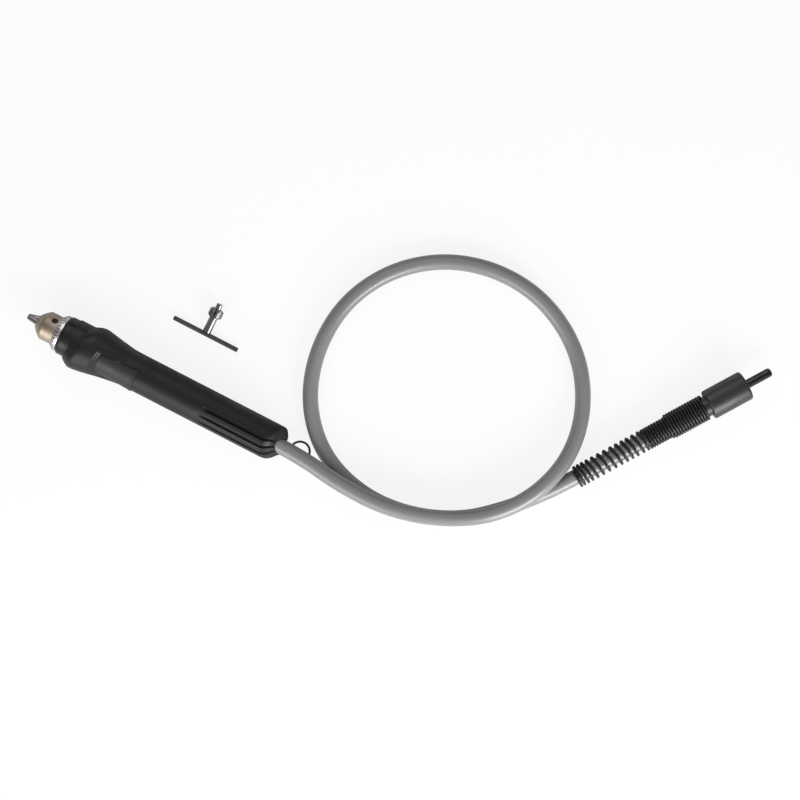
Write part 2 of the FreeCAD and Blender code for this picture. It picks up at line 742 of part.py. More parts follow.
def make_screws():
    """Six screws driven up from below, and the holes that they need in the two halves."""
    screws = []
    holes = []
    seat = "0 - Sizes.screw_head_seat"
    base = "%s - Sizes.screw_head_height" % seat
    half_slot = "Sizes.screw_head_radius * Sizes.screw_slot_share"
    for kind, place, side in screw_places:
        for sign in (-1, 1):
            name = "%s_%s" % (kind, "left" if sign > 0 else "right")
            head = screw_part(name + "_head", place, side, sign, "Sizes.screw_head_radius", base, seat)
            stem = screw_part(name + "_stem", place, side, sign, "Sizes.screw_radius", base,
                              "Sizes.screw_reach")
            slots = []
            for turn in (0, 90):
                slot = block("%s_slot_%d" % (name, turn),
                             ("0 - " + half_slot, "0 - Sizes.screw_slot / 2", "0"),
                             ("2 * " + half_slot, "Sizes.screw_slot", "Sizes.screw_head_height / 2"))
                copy = group("%s_cross_%d" % (name, turn), [slot])
                copy.Placement = Placement(Vector(0, 0, 0), Rotation(Vector(0, 0, 1), turn))
                copy.setExpression("Placement.Base.x", place)
                copy.setExpression("Placement.Base.y", "%d * Sizes.%s" % (sign, side))
                copy.setExpression("Placement.Base.z", base)
                slots.append(copy)
            screws.append(cut(name, joined(name + "_blank", [head, stem]), slots))
            holes.append(screw_part(name + "_hole", place, side, sign, "Sizes.screw_radius",
                                    base, "Sizes.screw_reach"))
            holes.append(screw_part(name + "_sink", place, side, sign,
                                    total("screw_head_radius", "screw_head_play"),
                                    "0 - 2 * Sizes.axis_height", seat))
    return group("handle_screws", screws), holes


def make_lug():
    """Foot under the handle's rear end with an ear for the hanging ring."""
    front = total(handle_rear, "-lug_length")
    foot = block("lug_foot", (front, "Sizes.ear_side - Sizes.lug_width / 2", "0 - Sizes.axis_height"),
                 ("Sizes.lug_length - Sizes.rear_round / 4", "Sizes.lug_width",
                  "Sizes.axis_height - Sizes.lug_top"))
    ear = block("lug_ear", (front, "Sizes.ear_side - Sizes.ear_width / 2",
                            "0 - Sizes.ear_drop - Sizes.ear_round"),
                ("Sizes.lug_length + Sizes.ear_reach - Sizes.ear_round", "Sizes.ear_width",
                 "2 * Sizes.ear_round"))
    ends = []
    for label, radius, width in (("lug_ear_round", "Sizes.ear_round", "Sizes.ear_width"),
                                 ("lug_ear_hole", "Sizes.ear_hole_radius", "3 * Sizes.ear_width")):
        disc = doc.addObject("Part::Cylinder", label)
        disc.Placement = Placement(Vector(0, 0, 0), Rotation(Vector(1, 0, 0), 90))
        disc.setExpression("Radius", radius)
        disc.setExpression("Height", width)
        disc.setExpression("Placement.Base.x", "%s + Sizes.ear_reach - Sizes.ear_round" % handle_rear)
        disc.setExpression("Placement.Base.y", "Sizes.ear_side + %s / 2" % width)
        disc.setExpression("Placement.Base.z", "0 - Sizes.ear_drop")
        ends.append(disc)
    return [foot, ear, ends[0]], ends[1]


def make_rear_slope():
    """Block that cuts the upper half's rear end to a slope, where the hose comes out."""
    wide = "4 * Sizes.axis_height"
    slope = block("rear_slope", (handle_rear, "0 - %s / 2" % wide, "0"), (wide, wide, wide))
    lean = math.degrees(math.atan2(size("rear_slope_length"), size("grip_radius")))
    slope.Placement = Placement(Vector(0, 0, 0), Rotation(Vector(0, 1, 0), -lean))
    return slope


def make_shells(pockets, grooves, holes):
    form = make_handle_form()
    cavity = make_cavity()
    spigot_ring = turned("spigot_ring", [
        (cap_inner, "Sizes.bearing_lip_radius"), (cap_inner, "Sizes.spigot_radius"),
        (total(handle_front, "spigot_root"), "Sizes.spigot_radius"),
        (total(handle_front, "spigot_root"), "Sizes.bearing_lip_radius")])
    whole = joined("handle_whole", [form, spigot_ring])
    wide = "4 * Sizes.axis_height"
    long = "2 * Sizes.handle_length"
    upper_half = block("upper_half", ("0", "0 - %s / 2" % wide, "0"), (long, wide, wide))
    lower_half = block("lower_half", ("0", "0 - %s / 2" % wide, "0 - Sizes.axis_height"),
                       (long, wide, "Sizes.axis_height"))
    lug_solids, lug_hole = make_lug()
    upper = cut("upper_shell", shared("upper_blank", whole, upper_half),
                [cavity, make_rear_slope(), pockets[0]] + grooves[0::2] + holes)
    lower_blank = joined("lower_blank", [shared("lower_part", whole, lower_half)] + lug_solids)
    lower = cut("lower_shell", lower_blank,
                [cavity, pockets[1], lug_hole] + grooves[1::2] + holes)
    return [upper, lower]


def ring_tilt():
    """Slope at which the ring's far side rests on the surface below."""
    drop = size("axis_height") - size("ring_wire_radius") - size("hose_lift") - size("ear_drop")
    return math.degrees(math.asin(drop / (2 * size("ring_radius"))))


def make_hang_ring():
    ring = doc.addObject("Part::Torus", "ring_wire")
    ring.setExpression("Radius1", "Sizes.ring_radius")
    ring.setExpression("Radius2", "Sizes.ring_wire_radius")
    ring.setExpression("Placement.Base.x", "Sizes.ring_radius")
    result = group("hang_ring", [ring])
    result.Placement = Placement(Vector(0, 0, 0), Rotation(Vector(0, 1, 0), ring_tilt()))
    result.setExpression("Placement.Base.x", "%s + Sizes.ear_reach - Sizes.ear_round" % handle_rear)
    result.setExpression("Placement.Base.y", "Sizes.ear_side")
    result.setExpression("Placement.Base.z", "0 - Sizes.ear_drop")
    return result


# ---------------------------------------------------------------- hose, liner and core
spring_length = total("open_coil_length", "closed_coil_length", "wide_coil_length")
connector_start = total(spring_length, "connector_neck")
ferrule_end = total(connector_start, "connector_lip", "ferrule_head")


def coupling_frame():
    """Placement of the coupling: its spring lies on the surface, its wider end tips it up."""
    spring = size("coil_radius") + size("wire_radius")
    rise = size("connector_radius") - spring
    tilt = math.degrees(math.asin(rise / value_of(connector_start)))
    base = Vector(size("coupling_x"), size("coupling_y"),
                  spring + size("hose_lift") - size("axis_height"))
    aim = Rotation(Vector(0, 0, 1), size("coupling_turn")) * Rotation(Vector(0, 1, 0), -tilt)
    return Placement(base, aim)


def hose_points():
    """Route of the hose from inside the handle, over itself, round the loop and back under."""
    lying = size("hose_radius") + size("hose_lift") - size("axis_height")
    frame = coupling_frame()
    route = [
        (value_of(hose_front), 0, 0), (238, 0, 0), (276, -5.5, 3.2), (317, -5.5, 4.3),
        (357, 5.5, 4.4), (392.4, 26.1, 4.3), (416.9, 58.6, 3.2), (427, 98, -1.5),
        (418.8, 138.3, -7.5), (394.3, 173.3, lying), (354.7, 196.3, lying), (311, 201, lying),
        (268.5, 189, lying), (234.1, 161.2, lying), (213.5, 121.8, lying), (211.6, 77.4, lying),
        (225.8, 37.2, lying), (255.5, 7.2, lying), (296, -5.5, lying), (336, -2.5, lying),
        (374, 13, lying), (401, 36.5, lying), (418.5, 57, -9.8)]
    points = [Vector(*spot) for spot in route]
    points.append(frame.multVec(Vector(-8, 0, 0)))
    points.append(frame.multVec(Vector(value_of(ferrule_end), 0, 0)))
    return points


def smooth_wire(points, report=None):
    """Straight runs joined by tangent arcs; each arc takes 0.45 of the shorter of its two runs."""
    edges = []
    start = points[0]
    for before, corner, after in zip(points, points[1:], points[2:]):
        back = (before - corner).normalize()
        ahead = (after - corner).normalize()
        half_turn = (math.pi - back.getAngle(ahead)) / 2
        reach = 0.45 * min((before - corner).Length, (after - corner).Length)
        radius = reach / math.tan(half_turn)
        if report is not None:
            report.append(radius)
        enter = corner + back * reach
        leave = corner + ahead * reach
        inward = (back + ahead).normalize()
        middle = corner + inward * (radius / math.cos(half_turn) - radius)
        edges.append(Part.LineSegment(start, enter).toShape())
        edges.append(Part.Arc(enter, middle, leave).toShape())
        start = leave
    edges.append(Part.LineSegment(start, points[-1]).toShape())
    return Part.Wire(edges)


def piped(label, wire, outer, inner=0.0):
    """Tube or bar along a wire, and its volume against section times length."""
    first = wire.Edges[0]
    start = first.valueAt(first.FirstParameter)
    way = first.tangentAt(first.FirstParameter)
    rim = Part.Wire([Part.Circle(start, way, outer).toShape()])
    solid = Part.Wire(wire.Edges).makePipeShell([rim], True, False)
    if inner > 0:
        bore = Part.Wire([Part.Circle(start, way, inner).toShape()])
        solid = solid.cut(Part.Wire(wire.Edges).makePipeShell([bore], True, False))
    feature = doc.addObject("Part::Feature", label)
    feature.Label = label
    feature.Shape = solid
    expected = math.pi * (outer ** 2 - inner ** 2) * wire.Length
    print("%s: length %.1f mm, volume %.4f of section times length"
          % (label, wire.Length, solid.Volume / expected))
    return feature


def make_hose():
    points = hose_points()
    radii = []
    wire = smooth_wire(points, radii)
    print("hose arc radii:", " ".join("%.0f" % radius for radius in radii))
    sheath = piped("hose_sheath", wire, size("hose_radius"), size("hose_bore_radius"))
    liner = piped("hose_liner", wire, size("liner_radius"), size("liner_bore_radius"))
    longer = list(points)
    longer[0] = Vector(value_of(spindle_rear) + size("core_gap"), 0, 0)
    longer[-1] = coupling_frame().multVec(Vector(value_of(core_rear), 0, 0))
    core = piped("flex_core", smooth_wire(longer), size("core_radius"))
    return [sheath, liner, core]


def make_handle_ferrule():
    """Metal sleeve crimped on the hose, with a rim that the handle's halves hold."""
    inner = "Sizes.hose_radius"
    outer = total("hose_radius", "ferrule_wall")
    rim = total("hose_radius", "ferrule_wall", "ferrule_rim")
    rear = total(hose_front, "ferrule_length")
    rim_front = total(rear, "-ferrule_rim_width")
    return turned("handle_ferrule", [(hose_front, inner), (hose_front, outer), (rim_front, outer),
                                     (rim_front, rim), (rear, rim), (rear, inner)])


# ---------------------------------------------------------------- coupling
connector_rear = total(connector_start, "connector_length")
plug_front = total(connector_rear, "-plug_length")
collar_rear = total(plug_front, "-bush_rim_width", "-washer_width")
collar_front = total(collar_rear, "-shank_collar_length")
shank_front = total(collar_front, "-shank_tail")
core_rear = total(shank_front, "-core_gap")


def coil(label, start, length, pitch, radius):
    """Round wire wound on a helix along +Z."""
    helix = doc.addObject("Part::Helix", label + "_line")
    helix.setExpression("Pitch", pitch)
    helix.setExpression("Height", length)
    helix.setExpression("Radius", radius)
    section = doc.addObject("Part::Circle", label + "_section")
    section.setExpression("Radius", "Sizes.wire_radius")
    section.Placement = Placement(Vector(0, 0, 0), Rotation(Vector(1, 0, 0), -90))
    section.setExpression("Placement.Base.x", radius)
    sweep = doc.addObject("Part::Sweep", label + "_wire")
    sweep.Sections = [section]
    sweep.Spine = (helix, [])
    sweep.Solid = True
    sweep.Frenet = True
    lifted = group(label, [sweep])
    lifted.setExpression("Placement.Base.z", start)
    return lifted


def make_bend_spring():
    """One spring wound in three lengths: open coils, close coils and wider close coils."""
    coils = [
        coil("open_coils", "Sizes.wire_radius", "Sizes.open_coil_length - 2 * Sizes.wire_radius",
             "Sizes.open_coil_pitch", "Sizes.coil_radius"),
        coil("close_coils", "Sizes.open_coil_length + Sizes.wire_radius",
             "Sizes.closed_coil_length - 2 * Sizes.wire_radius", "Sizes.closed_coil_pitch",
             "Sizes.coil_radius"),
        coil("wide_coils", "Sizes.open_coil_length + Sizes.closed_coil_length + Sizes.wire_radius",
             "Sizes.wide_coil_length - 2 * Sizes.wire_radius", "Sizes.closed_coil_pitch",
             "Sizes.wide_coil_radius")]
    spring = group("bend_spring", coils)
    spring.Placement = coupling_frame() * Placement(Vector(0, 0, 0), Rotation(Vector(0, 1, 0), 90))
    return spring


def placed_on_coupling(solid):
    solid.Placement = coupling_frame()
    return solid


def make_coupling():
    """Ferrule, connector shell, end plug, bush, washer, drive shank and the core's rear tip."""
    hose = "Sizes.hose_radius"
    sleeve = "Sizes.wide_coil_radius - Sizes.wire_radius - Sizes.coil_play"
    sleeve_start = total("open_coil_length", "closed_coil_length")
    lip_rear = total(connector_start, "connector_lip")
    ferrule = turned("coupling_ferrule", [
        (sleeve_start, hose), (sleeve_start, sleeve), (lip_rear, sleeve),
        (lip_rear, "Sizes.ferrule_head_radius"), (ferrule_end, "Sizes.ferrule_head_radius"),
        (ferrule_end, hose)])
    outer = "Sizes.connector_radius"
    edge = total("connector_radius", "-connector_edge")
    shell = turned("connector_shell", [
        (connector_start, sleeve), (connector_start, edge),
        (total(connector_start, "connector_edge"), outer),
        (total(connector_rear, "-connector_round"), outer, "-Sizes.connector_round"),
        (connector_rear, total("connector_radius", "-connector_round")),
        (connector_rear, "Sizes.connector_bore_radius"), (lip_rear, "Sizes.connector_bore_radius"),
        (lip_rear, sleeve)])
    plug = turned("connector_plug", [
        (plug_front, "Sizes.bush_radius"), (plug_front, "Sizes.connector_bore_radius"),
        (connector_rear, "Sizes.connector_bore_radius"), (connector_rear, "Sizes.bush_radius")])
    bore = total("journal_radius", "bush_play")
    rim_front = total(plug_front, "-bush_rim_width")
    bush = turned("shank_bush", [
        (rim_front, bore), (rim_front, "Sizes.bush_rim_radius"),
        (plug_front, "Sizes.bush_rim_radius"), (plug_front, "Sizes.bush_radius"),
        (connector_rear, "Sizes.bush_radius"), (connector_rear, bore)])
    washer = turned("thrust_washer", [
        (collar_rear, "Sizes.journal_radius"), (collar_rear, "Sizes.shank_collar_radius"),
        ("%s + Sizes.washer_width - Sizes.core_gap" % collar_rear, "Sizes.shank_collar_radius"),
        ("%s + Sizes.washer_width - Sizes.core_gap" % collar_rear, "Sizes.journal_radius")])
    shoulder = total(connector_rear, "journal_reach")
    tip = total(connector_rear, "shank_reach")
    hub = total("core_tip_radius", "spacer_wall")
    shank = turned("drive_shank", [
        (shank_front, "Sizes.core_tip_radius"), (shank_front, hub), (collar_front, hub),
        (collar_front, "Sizes.shank_collar_radius"), (collar_rear, "Sizes.shank_collar_radius"),
        (collar_rear, "Sizes.journal_radius"), (shoulder, "Sizes.journal_radius"),
        (shoulder, "Sizes.shank_radius"),
        (total(tip, "-shank_edge"), "Sizes.shank_radius", "-Sizes.shank_edge"),
        (tip, total("shank_radius", "-shank_edge")), (tip, "0"), (collar_rear, "0"),
        (collar_rear, "Sizes.core_tip_radius")])
    core_tip = turned("rear_core_tip", [
        (shank_front, "0"), (shank_front, "Sizes.core_tip_radius"),
        (collar_rear, "Sizes.core_tip_radius"), (collar_rear, "0")])
    return [placed_on_coupling(piece) for piece in (ferrule, shell, plug, bush, washer, shank, core_tip)]


# ---------------------------------------------------------------- chuck key
def key_frame():
    """The key lies on the front edges of its shank and of its pinion, so it slopes."""
    shank_edge = Vector(size("key_bar_radius"), -size("key_shank_radius"), 0)
    pinion_edge = Vector(size("key_shank_length") + size("pinion_bevel"), -size("pinion_radius"), 0)
    line = pinion_edge - shank_edge
    tilt = math.degrees(math.atan2(-line.y, line.x))
    height = line.cross(shank_edge).Length / line.Length
    base = Vector(size("key_x"), size("key_y"), height + size("hose_lift") - size("axis_height"))
    return Placement(base, Rotation(Vector(1, 0, 0), tilt) * Rotation(Vector(0, 0, 1), 90))


def make_chuck_key():
    """Shank with a toothed pinion and a pilot, whose spigot is pressed into a cross bar."""
    spigot = "0 - Sizes.key_spigot_reach"
    seat = "Sizes.key_bar_radius"
    pinion = "Sizes.key_shank_length"
    pilot = total("key_shank_length", "pinion_length")
    tip = total(pilot, "pilot_length")
    blank = turned("key_blank", [
        (spigot, "0"), (spigot, "Sizes.key_spigot_radius"), (seat, "Sizes.key_spigot_radius"),
        (seat, "Sizes.key_shank_radius"), (pinion, "Sizes.key_shank_radius"),
        (pinion, total("pinion_radius", "-pinion_bevel")),
        (total(pinion, "pinion_bevel"), "Sizes.pinion_radius"),
        (total(pilot, "-pinion_bevel"), "Sizes.pinion_radius"),
        (pilot, total("pinion_radius", "-pinion_bevel")), (pilot, "Sizes.pilot_radius"),
        (total(tip, "-pilot_edge"), "Sizes.pilot_radius"),
        (tip, total("pilot_radius", "-pilot_edge")), (tip, "0")])
    notch = doc.addObject("Part::Prism", "pinion_notch")
    notch.Polygon = 3
    notch.setExpression("Circumradius", "Sizes.pinion_tooth_size")
    notch.setExpression("Height", "Sizes.pinion_length")
    notch.Placement = Placement(Vector(0, 0, 0), Rotation(Vector(0, 1, 0), 90))
    notch.setExpression("Placement.Base.x", pinion)
    notch.setExpression("Placement.Base.z", "Sizes.pinion_radius")
    count = int(size("pinion_teeth"))
    notches = [spun("pinion_notch_%d" % number, notch, 360.0 * number / count) for number in range(count)]
    shank = cut("key_shank", blank, [group("pinion_notches", notches)])
    shank.Placement = key_frame()
    half = "Sizes.key_bar_length / 2"
    bar_blank = turned("key_bar_blank", [
        ("0 - %s" % half, "0"), ("0 - %s" % half, "%s - Sizes.key_bar_edge" % seat),
        ("Sizes.key_bar_edge - %s" % half, seat), ("%s - Sizes.key_bar_edge" % half, seat),
        (half, "%s - Sizes.key_bar_edge" % seat), (half, "0")])
    hole = doc.addObject("Part::Cylinder", "key_bar_hole")
    hole.Placement = Placement(Vector(0, 0, 0), Rotation(Vector(1, 0, 0), -90))
    hole.setExpression("Radius", "Sizes.key_spigot_radius")
    hole.setExpression("Height", "Sizes.key_spigot_reach + 2 * Sizes.key_bar_radius")
    hole.setExpression("Placement.Base.y", "0 - 2 * Sizes.key_bar_radius")
    bar = cut("key_bar", bar_blank, [hole])
    bar.Placement = key_frame() * Placement(Vector(0, 0, 0), Rotation(Vector(0, 0, 1), 90))
    return [shank, bar]


# ---------------------------------------------------------------- assembly
def assemble():
    rests, pockets = make_thumb_rests()
    screws, holes = make_screws()
    nodes = [make_chuck_body(), make_chuck_sleeve(), make_split_nut()] + make_jaws()
    nodes += [make_spindle(), make_spacer(), make_circlip(), make_front_core_tip()]
    nodes += make_bearing("front", front_bearing) + make_bearing("rear", rear_bearing)
    nodes += [make_nose_cap()] + make_shells(pockets, make_grooves(), holes) + rests + [screws]
    nodes += [make_hang_ring(), make_handle_ferrule()] + make_hose()
    nodes += [make_bend_spring()] + make_coupling() + make_chuck_key()
    return nodes


def check_and_write(nodes):
    """Stops if an object failed; otherwise writes one file for each node."""
    doc.recompute()
    for item in doc.Objects:
        if "Invalid" in item.State or "Error" in item.State:
            raise SystemExit("%s is %s" % (item.Label, item.State))
    for node in nodes:
        if node.Shape.isNull() or not node.Shape.isValid():
            raise SystemExit("%s has no valid shape" % node.Label)
    os.makedirs("parts", exist_ok=True)
    for node in nodes:
        solids = node.Shape.Solids
        box = node.Shape.BoundBox
        print("%-26s %2d solids %10.1f mm3  x %.1f..%.1f y %.1f..%.1f z %.1f..%.1f"
              % (node.Label, len(solids), sum(solid.Volume for solid in solids), box.XMin,
                 box.XMax, box.YMin, box.YMax, box.ZMin, box.ZMax))
        node.Shape.exportStep("parts/%s.step" % node.Label)


check_and_write(assemble())
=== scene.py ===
# Looks of the flexible-shaft hand tool: finishes, the moulded handle, the hose and its spring.
# Metres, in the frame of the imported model: +X back along the handle, +Z up, jaw tips at the origin.
import json
import math
import bmesh
import bpy
import numpy as np
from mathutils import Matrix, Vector


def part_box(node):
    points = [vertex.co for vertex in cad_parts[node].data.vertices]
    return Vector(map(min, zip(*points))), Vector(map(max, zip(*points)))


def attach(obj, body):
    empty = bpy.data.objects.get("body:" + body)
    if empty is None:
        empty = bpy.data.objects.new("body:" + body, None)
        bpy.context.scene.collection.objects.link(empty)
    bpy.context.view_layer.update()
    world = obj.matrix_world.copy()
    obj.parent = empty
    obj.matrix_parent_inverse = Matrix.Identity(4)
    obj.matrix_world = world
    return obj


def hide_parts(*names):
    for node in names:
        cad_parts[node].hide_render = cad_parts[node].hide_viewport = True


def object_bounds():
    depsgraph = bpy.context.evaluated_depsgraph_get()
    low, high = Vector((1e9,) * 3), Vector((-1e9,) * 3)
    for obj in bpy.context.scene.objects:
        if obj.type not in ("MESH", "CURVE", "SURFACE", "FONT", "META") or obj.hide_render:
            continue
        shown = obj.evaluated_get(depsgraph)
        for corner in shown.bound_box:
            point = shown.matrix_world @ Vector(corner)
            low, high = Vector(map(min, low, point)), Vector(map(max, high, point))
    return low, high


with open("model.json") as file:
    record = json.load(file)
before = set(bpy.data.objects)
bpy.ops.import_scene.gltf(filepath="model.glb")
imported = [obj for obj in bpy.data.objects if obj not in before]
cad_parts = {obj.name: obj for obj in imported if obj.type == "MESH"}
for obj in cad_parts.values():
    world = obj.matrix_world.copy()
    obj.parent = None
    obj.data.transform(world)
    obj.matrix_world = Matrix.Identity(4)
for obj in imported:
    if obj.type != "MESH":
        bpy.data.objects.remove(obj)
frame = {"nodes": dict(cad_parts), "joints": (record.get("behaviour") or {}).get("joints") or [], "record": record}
cadLow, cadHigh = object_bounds()
mm = 0.001
print("frame loaded:", len(frame["nodes"]), "nodes")


# camera, straight above the tool and turned so that the handle points down to the right
view = {"place": (0.2880, 0.0746, 1.361), "turn": 27.25, "lens": 78.5, "sensor": 36.0}


def makeCamera():
    lens = bpy.data.cameras.new("camera")
    lens.lens = view["lens"]
    lens.sensor_width = view["sensor"]
    camera = bpy.data.objects.new("camera", lens)
    camera.location = view["place"]
    camera.rotation_euler = (0, 0, math.radians(view["turn"]))
    bpy.context.scene.collection.objects.link(camera)
    bpy.context.scene.camera = camera


makeCamera()


class Value:
    # a number on its way through a finish's nodes: +, - and * add Math nodes
    def __init__(self, finish, socket):
        self.finish = finish
        self.socket = socket

    def maths(self, operation, first, second):
        return self.finish.add("Math", {"operation": operation}, {0: first, 1: second})

    def __add__(self, other):
        return self.maths("ADD", self, other)

    def __sub__(self, other):
        return self.maths("SUBTRACT", self, other)

    def __mul__(self, other):
        return self.maths("MULTIPLY", self, other)


class Finish:
    # a material whose nodes are added one by one; constants go on the shader's own sockets
    def __init__(self, name, **constants):
        self.material = bpy.data.materials.new(name)
        self.material.use_nodes = True
        self.tree = self.material.node_tree
        self.shader = self.tree.nodes["Principled BSDF"]
        for socket, value in constants.items():
            self.shader.inputs[socket.replace("_", " ")].default_value = value

    def put(self, target, value):
        if isinstance(value, Value):
            self.tree.links.new(value.socket, target)
        else:
            target.default_value = value

    def add(self, kind, settings=(), sockets=(), output=0):
        node = self.tree.nodes.new("ShaderNode" + kind)
        for name, setting in dict(settings).items():
            setattr(node, name, setting)
        for name, value in dict(sockets).items():
            self.put(node.inputs[name], value)
        return Value(self, node.outputs[output])

    def place(self, stretch=(1, 1, 1)):
        # the object's own coordinates, stretched along each axis
        where = self.add("TexCoord", output="Object")
        return self.add("Mapping", {}, {"Vector": where, "Scale": stretch})

    def noise(self, where, scale, detail=2.0, rough=0.5):
        return self.add("TexNoise", {}, {"Vector": where, "Scale": scale, "Detail": detail,
                                         "Roughness": rough})

    def between(self, value, low, high, least=0.0, most=1.0):
        # value from low..high stretched to least..most and held there
        return self.add("MapRange", {}, {"Value": value, "From Min": low, "From Max": high,
                                         "To Min": least, "To Max": most})

    def painted(self, name):
        # a value kept on the mesh's points
        return self.add("Attribute", {"attribute_name": name}, output="Fac")

    def tint(self, share, first, second):
        # colour between first (share 0) and second (share 1)
        return self.add("Mix", {"data_type": "RGBA"}, {0: share, 6: first, 7: second}, output=2)

    def bump(self, height, depth, strength):
        normal = self.add("Bump", {}, {"Height": height, "Distance": depth, "Strength": strength})
        self.put(self.shader.inputs["Normal"], normal)

    def feed(self, socket, value):
        self.put(self.shader.inputs[socket], value)


def grey(level, warmth=0.0):
    return (level * (1 + warmth), level, level * (1 - warmth), 1.0)


def makeHandlePlastic():
    # spark-textured black plastic, a little greyer and smoother where hands rub it, with painted
    # highlights on the ridges beside the grooves and painted shade down in the grooves
    look = Finish("handlePlastic", Metallic=0.0, IOR=1.36)
    fine = look.noise(look.place(), 2600, 3.0, 0.6)
    patches = look.noise(look.place(), 38, 3.0, 0.55)
    # paler share: random rubbed patches plus a point attribute holding wear on the crest and recess and painted
    # highlights on the ridges beside the grooves
    rubbedAndLit = look.between(patches, 0.42, 0.66) * 0.5 + look.painted("wearAndSheen") * 0.5
    skin = look.tint(rubbedAndLit, (0.0078, 0.0066, 0.0068, 1), (0.0165, 0.0142, 0.0146, 1))
    # painted shade: this point attribute darkens the grooves' bottoms to near black and makes them rougher
    grooveShade = look.painted("grooveShade")
    look.feed("Base Color", look.tint(grooveShade, skin, (0.0010, 0.0009, 0.0009, 1)))
    smooth = look.between(patches, 0.35, 0.7, 0.50, 0.40) - look.painted("wearAndSheen") * 0.08
    look.feed("Roughness", smooth + grooveShade * 0.4)
    look.bump(fine, 0.00006, 0.55)
    return look.material


def makeRestPlastic():
    # the same plastic, finer grained and rubbed paler
    look = Finish("restPlastic", Metallic=0.0, IOR=1.38)
    fine = look.noise(look.place(), 3400, 2.0, 0.5)
    patches = look.noise(look.place((1, 2, 2)), 60, 3.0, 0.5)
    dark, pale = (0.018, 0.016, 0.0168, 1), (0.027, 0.024, 0.0248, 1)
    look.feed("Base Color", look.tint(patches, dark, pale))
    look.feed("Roughness", look.between(patches, 0.3, 0.7, 0.48, 0.40))
    look.bump(fine, 0.00004, 0.4)
    return look.material


def makeTurnedSteel(name, dark, pale, rough, ringScale, stain=None):
    # steel turned on a lathe: rings of uneven depth along X, and soft stains
    look = Finish(name, Metallic=1.0)
    rings = look.noise(look.place((1, 0.02, 0.02)), ringScale, 4.0, 0.7)
    patches = look.noise(look.place(), 70, 4.0, 0.6)
    share = look.between(patches * 0.6 + rings * 0.4, 0.36, 0.62)
    colour = look.tint(share, dark, pale)
    if stain:
        spots = look.between(look.noise(look.place((1, 1.6, 1.6)), 130, 5.0, 0.65), 0.56, 0.72)
        colour = look.tint(spots * 0.55, colour, stain)
    look.feed("Base Color", colour)
    look.feed("Roughness", look.between(rings, 0.3, 0.7, rough * 0.8, rough * 1.25))
    look.bump(rings, 0.00003, 0.5)
    return look.material


def makeJawSteel():
    # hardened jaws: bluish-violet grey with grinding lines along them
    look = Finish("jawSteel", Metallic=1.0)
    lines = look.noise(look.place((0.04, 1, 1)), 1900, 3.0, 0.7)
    patches = look.noise(look.place(), 160, 3.0, 0.5)
    look.feed("Base Color", look.tint(patches, (0.20, 0.165, 0.185, 1), (0.38, 0.34, 0.36, 1)))
    look.feed("Roughness", look.between(lines, 0.3, 0.7, 0.20, 0.36))
    look.bump(lines, 0.00003, 0.4)
    return look.material


def makeGlossBlack():
    # lacquered black ring with brownish depth and hairline scratches
    look = Finish("glossBlack", Metallic=0.0, IOR=1.30, Coat_Weight=0.08, Coat_Roughness=0.12)
    marks = look.noise(look.place((1, 0.15, 0.15)), 900, 5.0, 0.75)
    look.feed("Base Color", look.tint(marks, (0.006, 0.005, 0.004, 1), (0.018, 0.014, 0.010, 1)))
    look.feed("Roughness", look.between(marks, 0.35, 0.75, 0.24, 0.42))
    look.bump(marks, 0.00002, 0.3)
    return look.material


def makeSteel(name, level, rough, scale=420, warmth=0.0):
    look = Finish(name, Metallic=1.0)
    marks = look.noise(look.place(), scale, 4.0, 0.65)
    dark, pale = grey(level * 0.86, warmth), grey(level * 1.08, warmth)
    look.feed("Base Color", look.tint(marks, dark, pale))
    look.feed("Roughness", look.between(marks, 0.3, 0.7, rough * 0.8, rough * 1.25))
    look.bump(marks, 0.00002, 0.25)
    return look.material


def makeHoseSkin():
    # grey plastic sheath: smooth, faintly mottled, with the fine ripple of the liner under it
    look = Finish("hoseSkin", Metallic=0.0, Coat_Weight=0.25, Coat_Roughness=0.22)
    broad = look.noise(look.place(), 26, 3.0, 0.5)
    fine = look.noise(look.place(), 420, 3.0, 0.6)
    share = broad * 0.7 + fine * 0.3
    look.feed("Base Color", look.tint(share, (0.155, 0.155, 0.160, 1), (0.215, 0.214, 0.216, 1)))
    look.feed("Roughness", look.between(fine, 0.3, 0.7, 0.34, 0.46))
    look.bump(broad * 0.5 + fine * 0.5, 0.00012, 0.35)
    return look.material


def makeSpringBlack():
    # black-lacquered wire, rubbed to the steel on its outside
    look = Finish("springBlack", IOR=1.38, Coat_Weight=0.1, Coat_Roughness=0.3)
    chips = look.noise(look.place(), 520, 4.0, 0.7)
    bare = look.between(look.painted("crest") * 0.6 + chips * 0.75, 1.08, 1.28)
    look.feed("Base Color", look.tint(bare, (0.0035, 0.0035, 0.0037, 1), (0.07, 0.068, 0.066, 1)))
    look.feed("Metallic", bare)
    look.feed("Roughness", look.between(chips, 0.3, 0.7, 0.30, 0.44))
    look.bump(chips, 0.00003, 0.3)
    return look.material


def makeSatinBlack(name, dark, pale, rough):
    look = Finish(name, Metallic=0.0)
    patches = look.noise(look.place(), 90, 4.0, 0.6)
    fine = look.noise(look.place(), 2200, 2.0, 0.5)
    look.feed("Base Color", look.tint(patches, dark, pale))
    look.feed("Roughness", look.between(patches, 0.3, 0.7, rough * 1.15, rough * 0.85))
    look.bump(fine, 0.00003, 0.35)
    return look.material


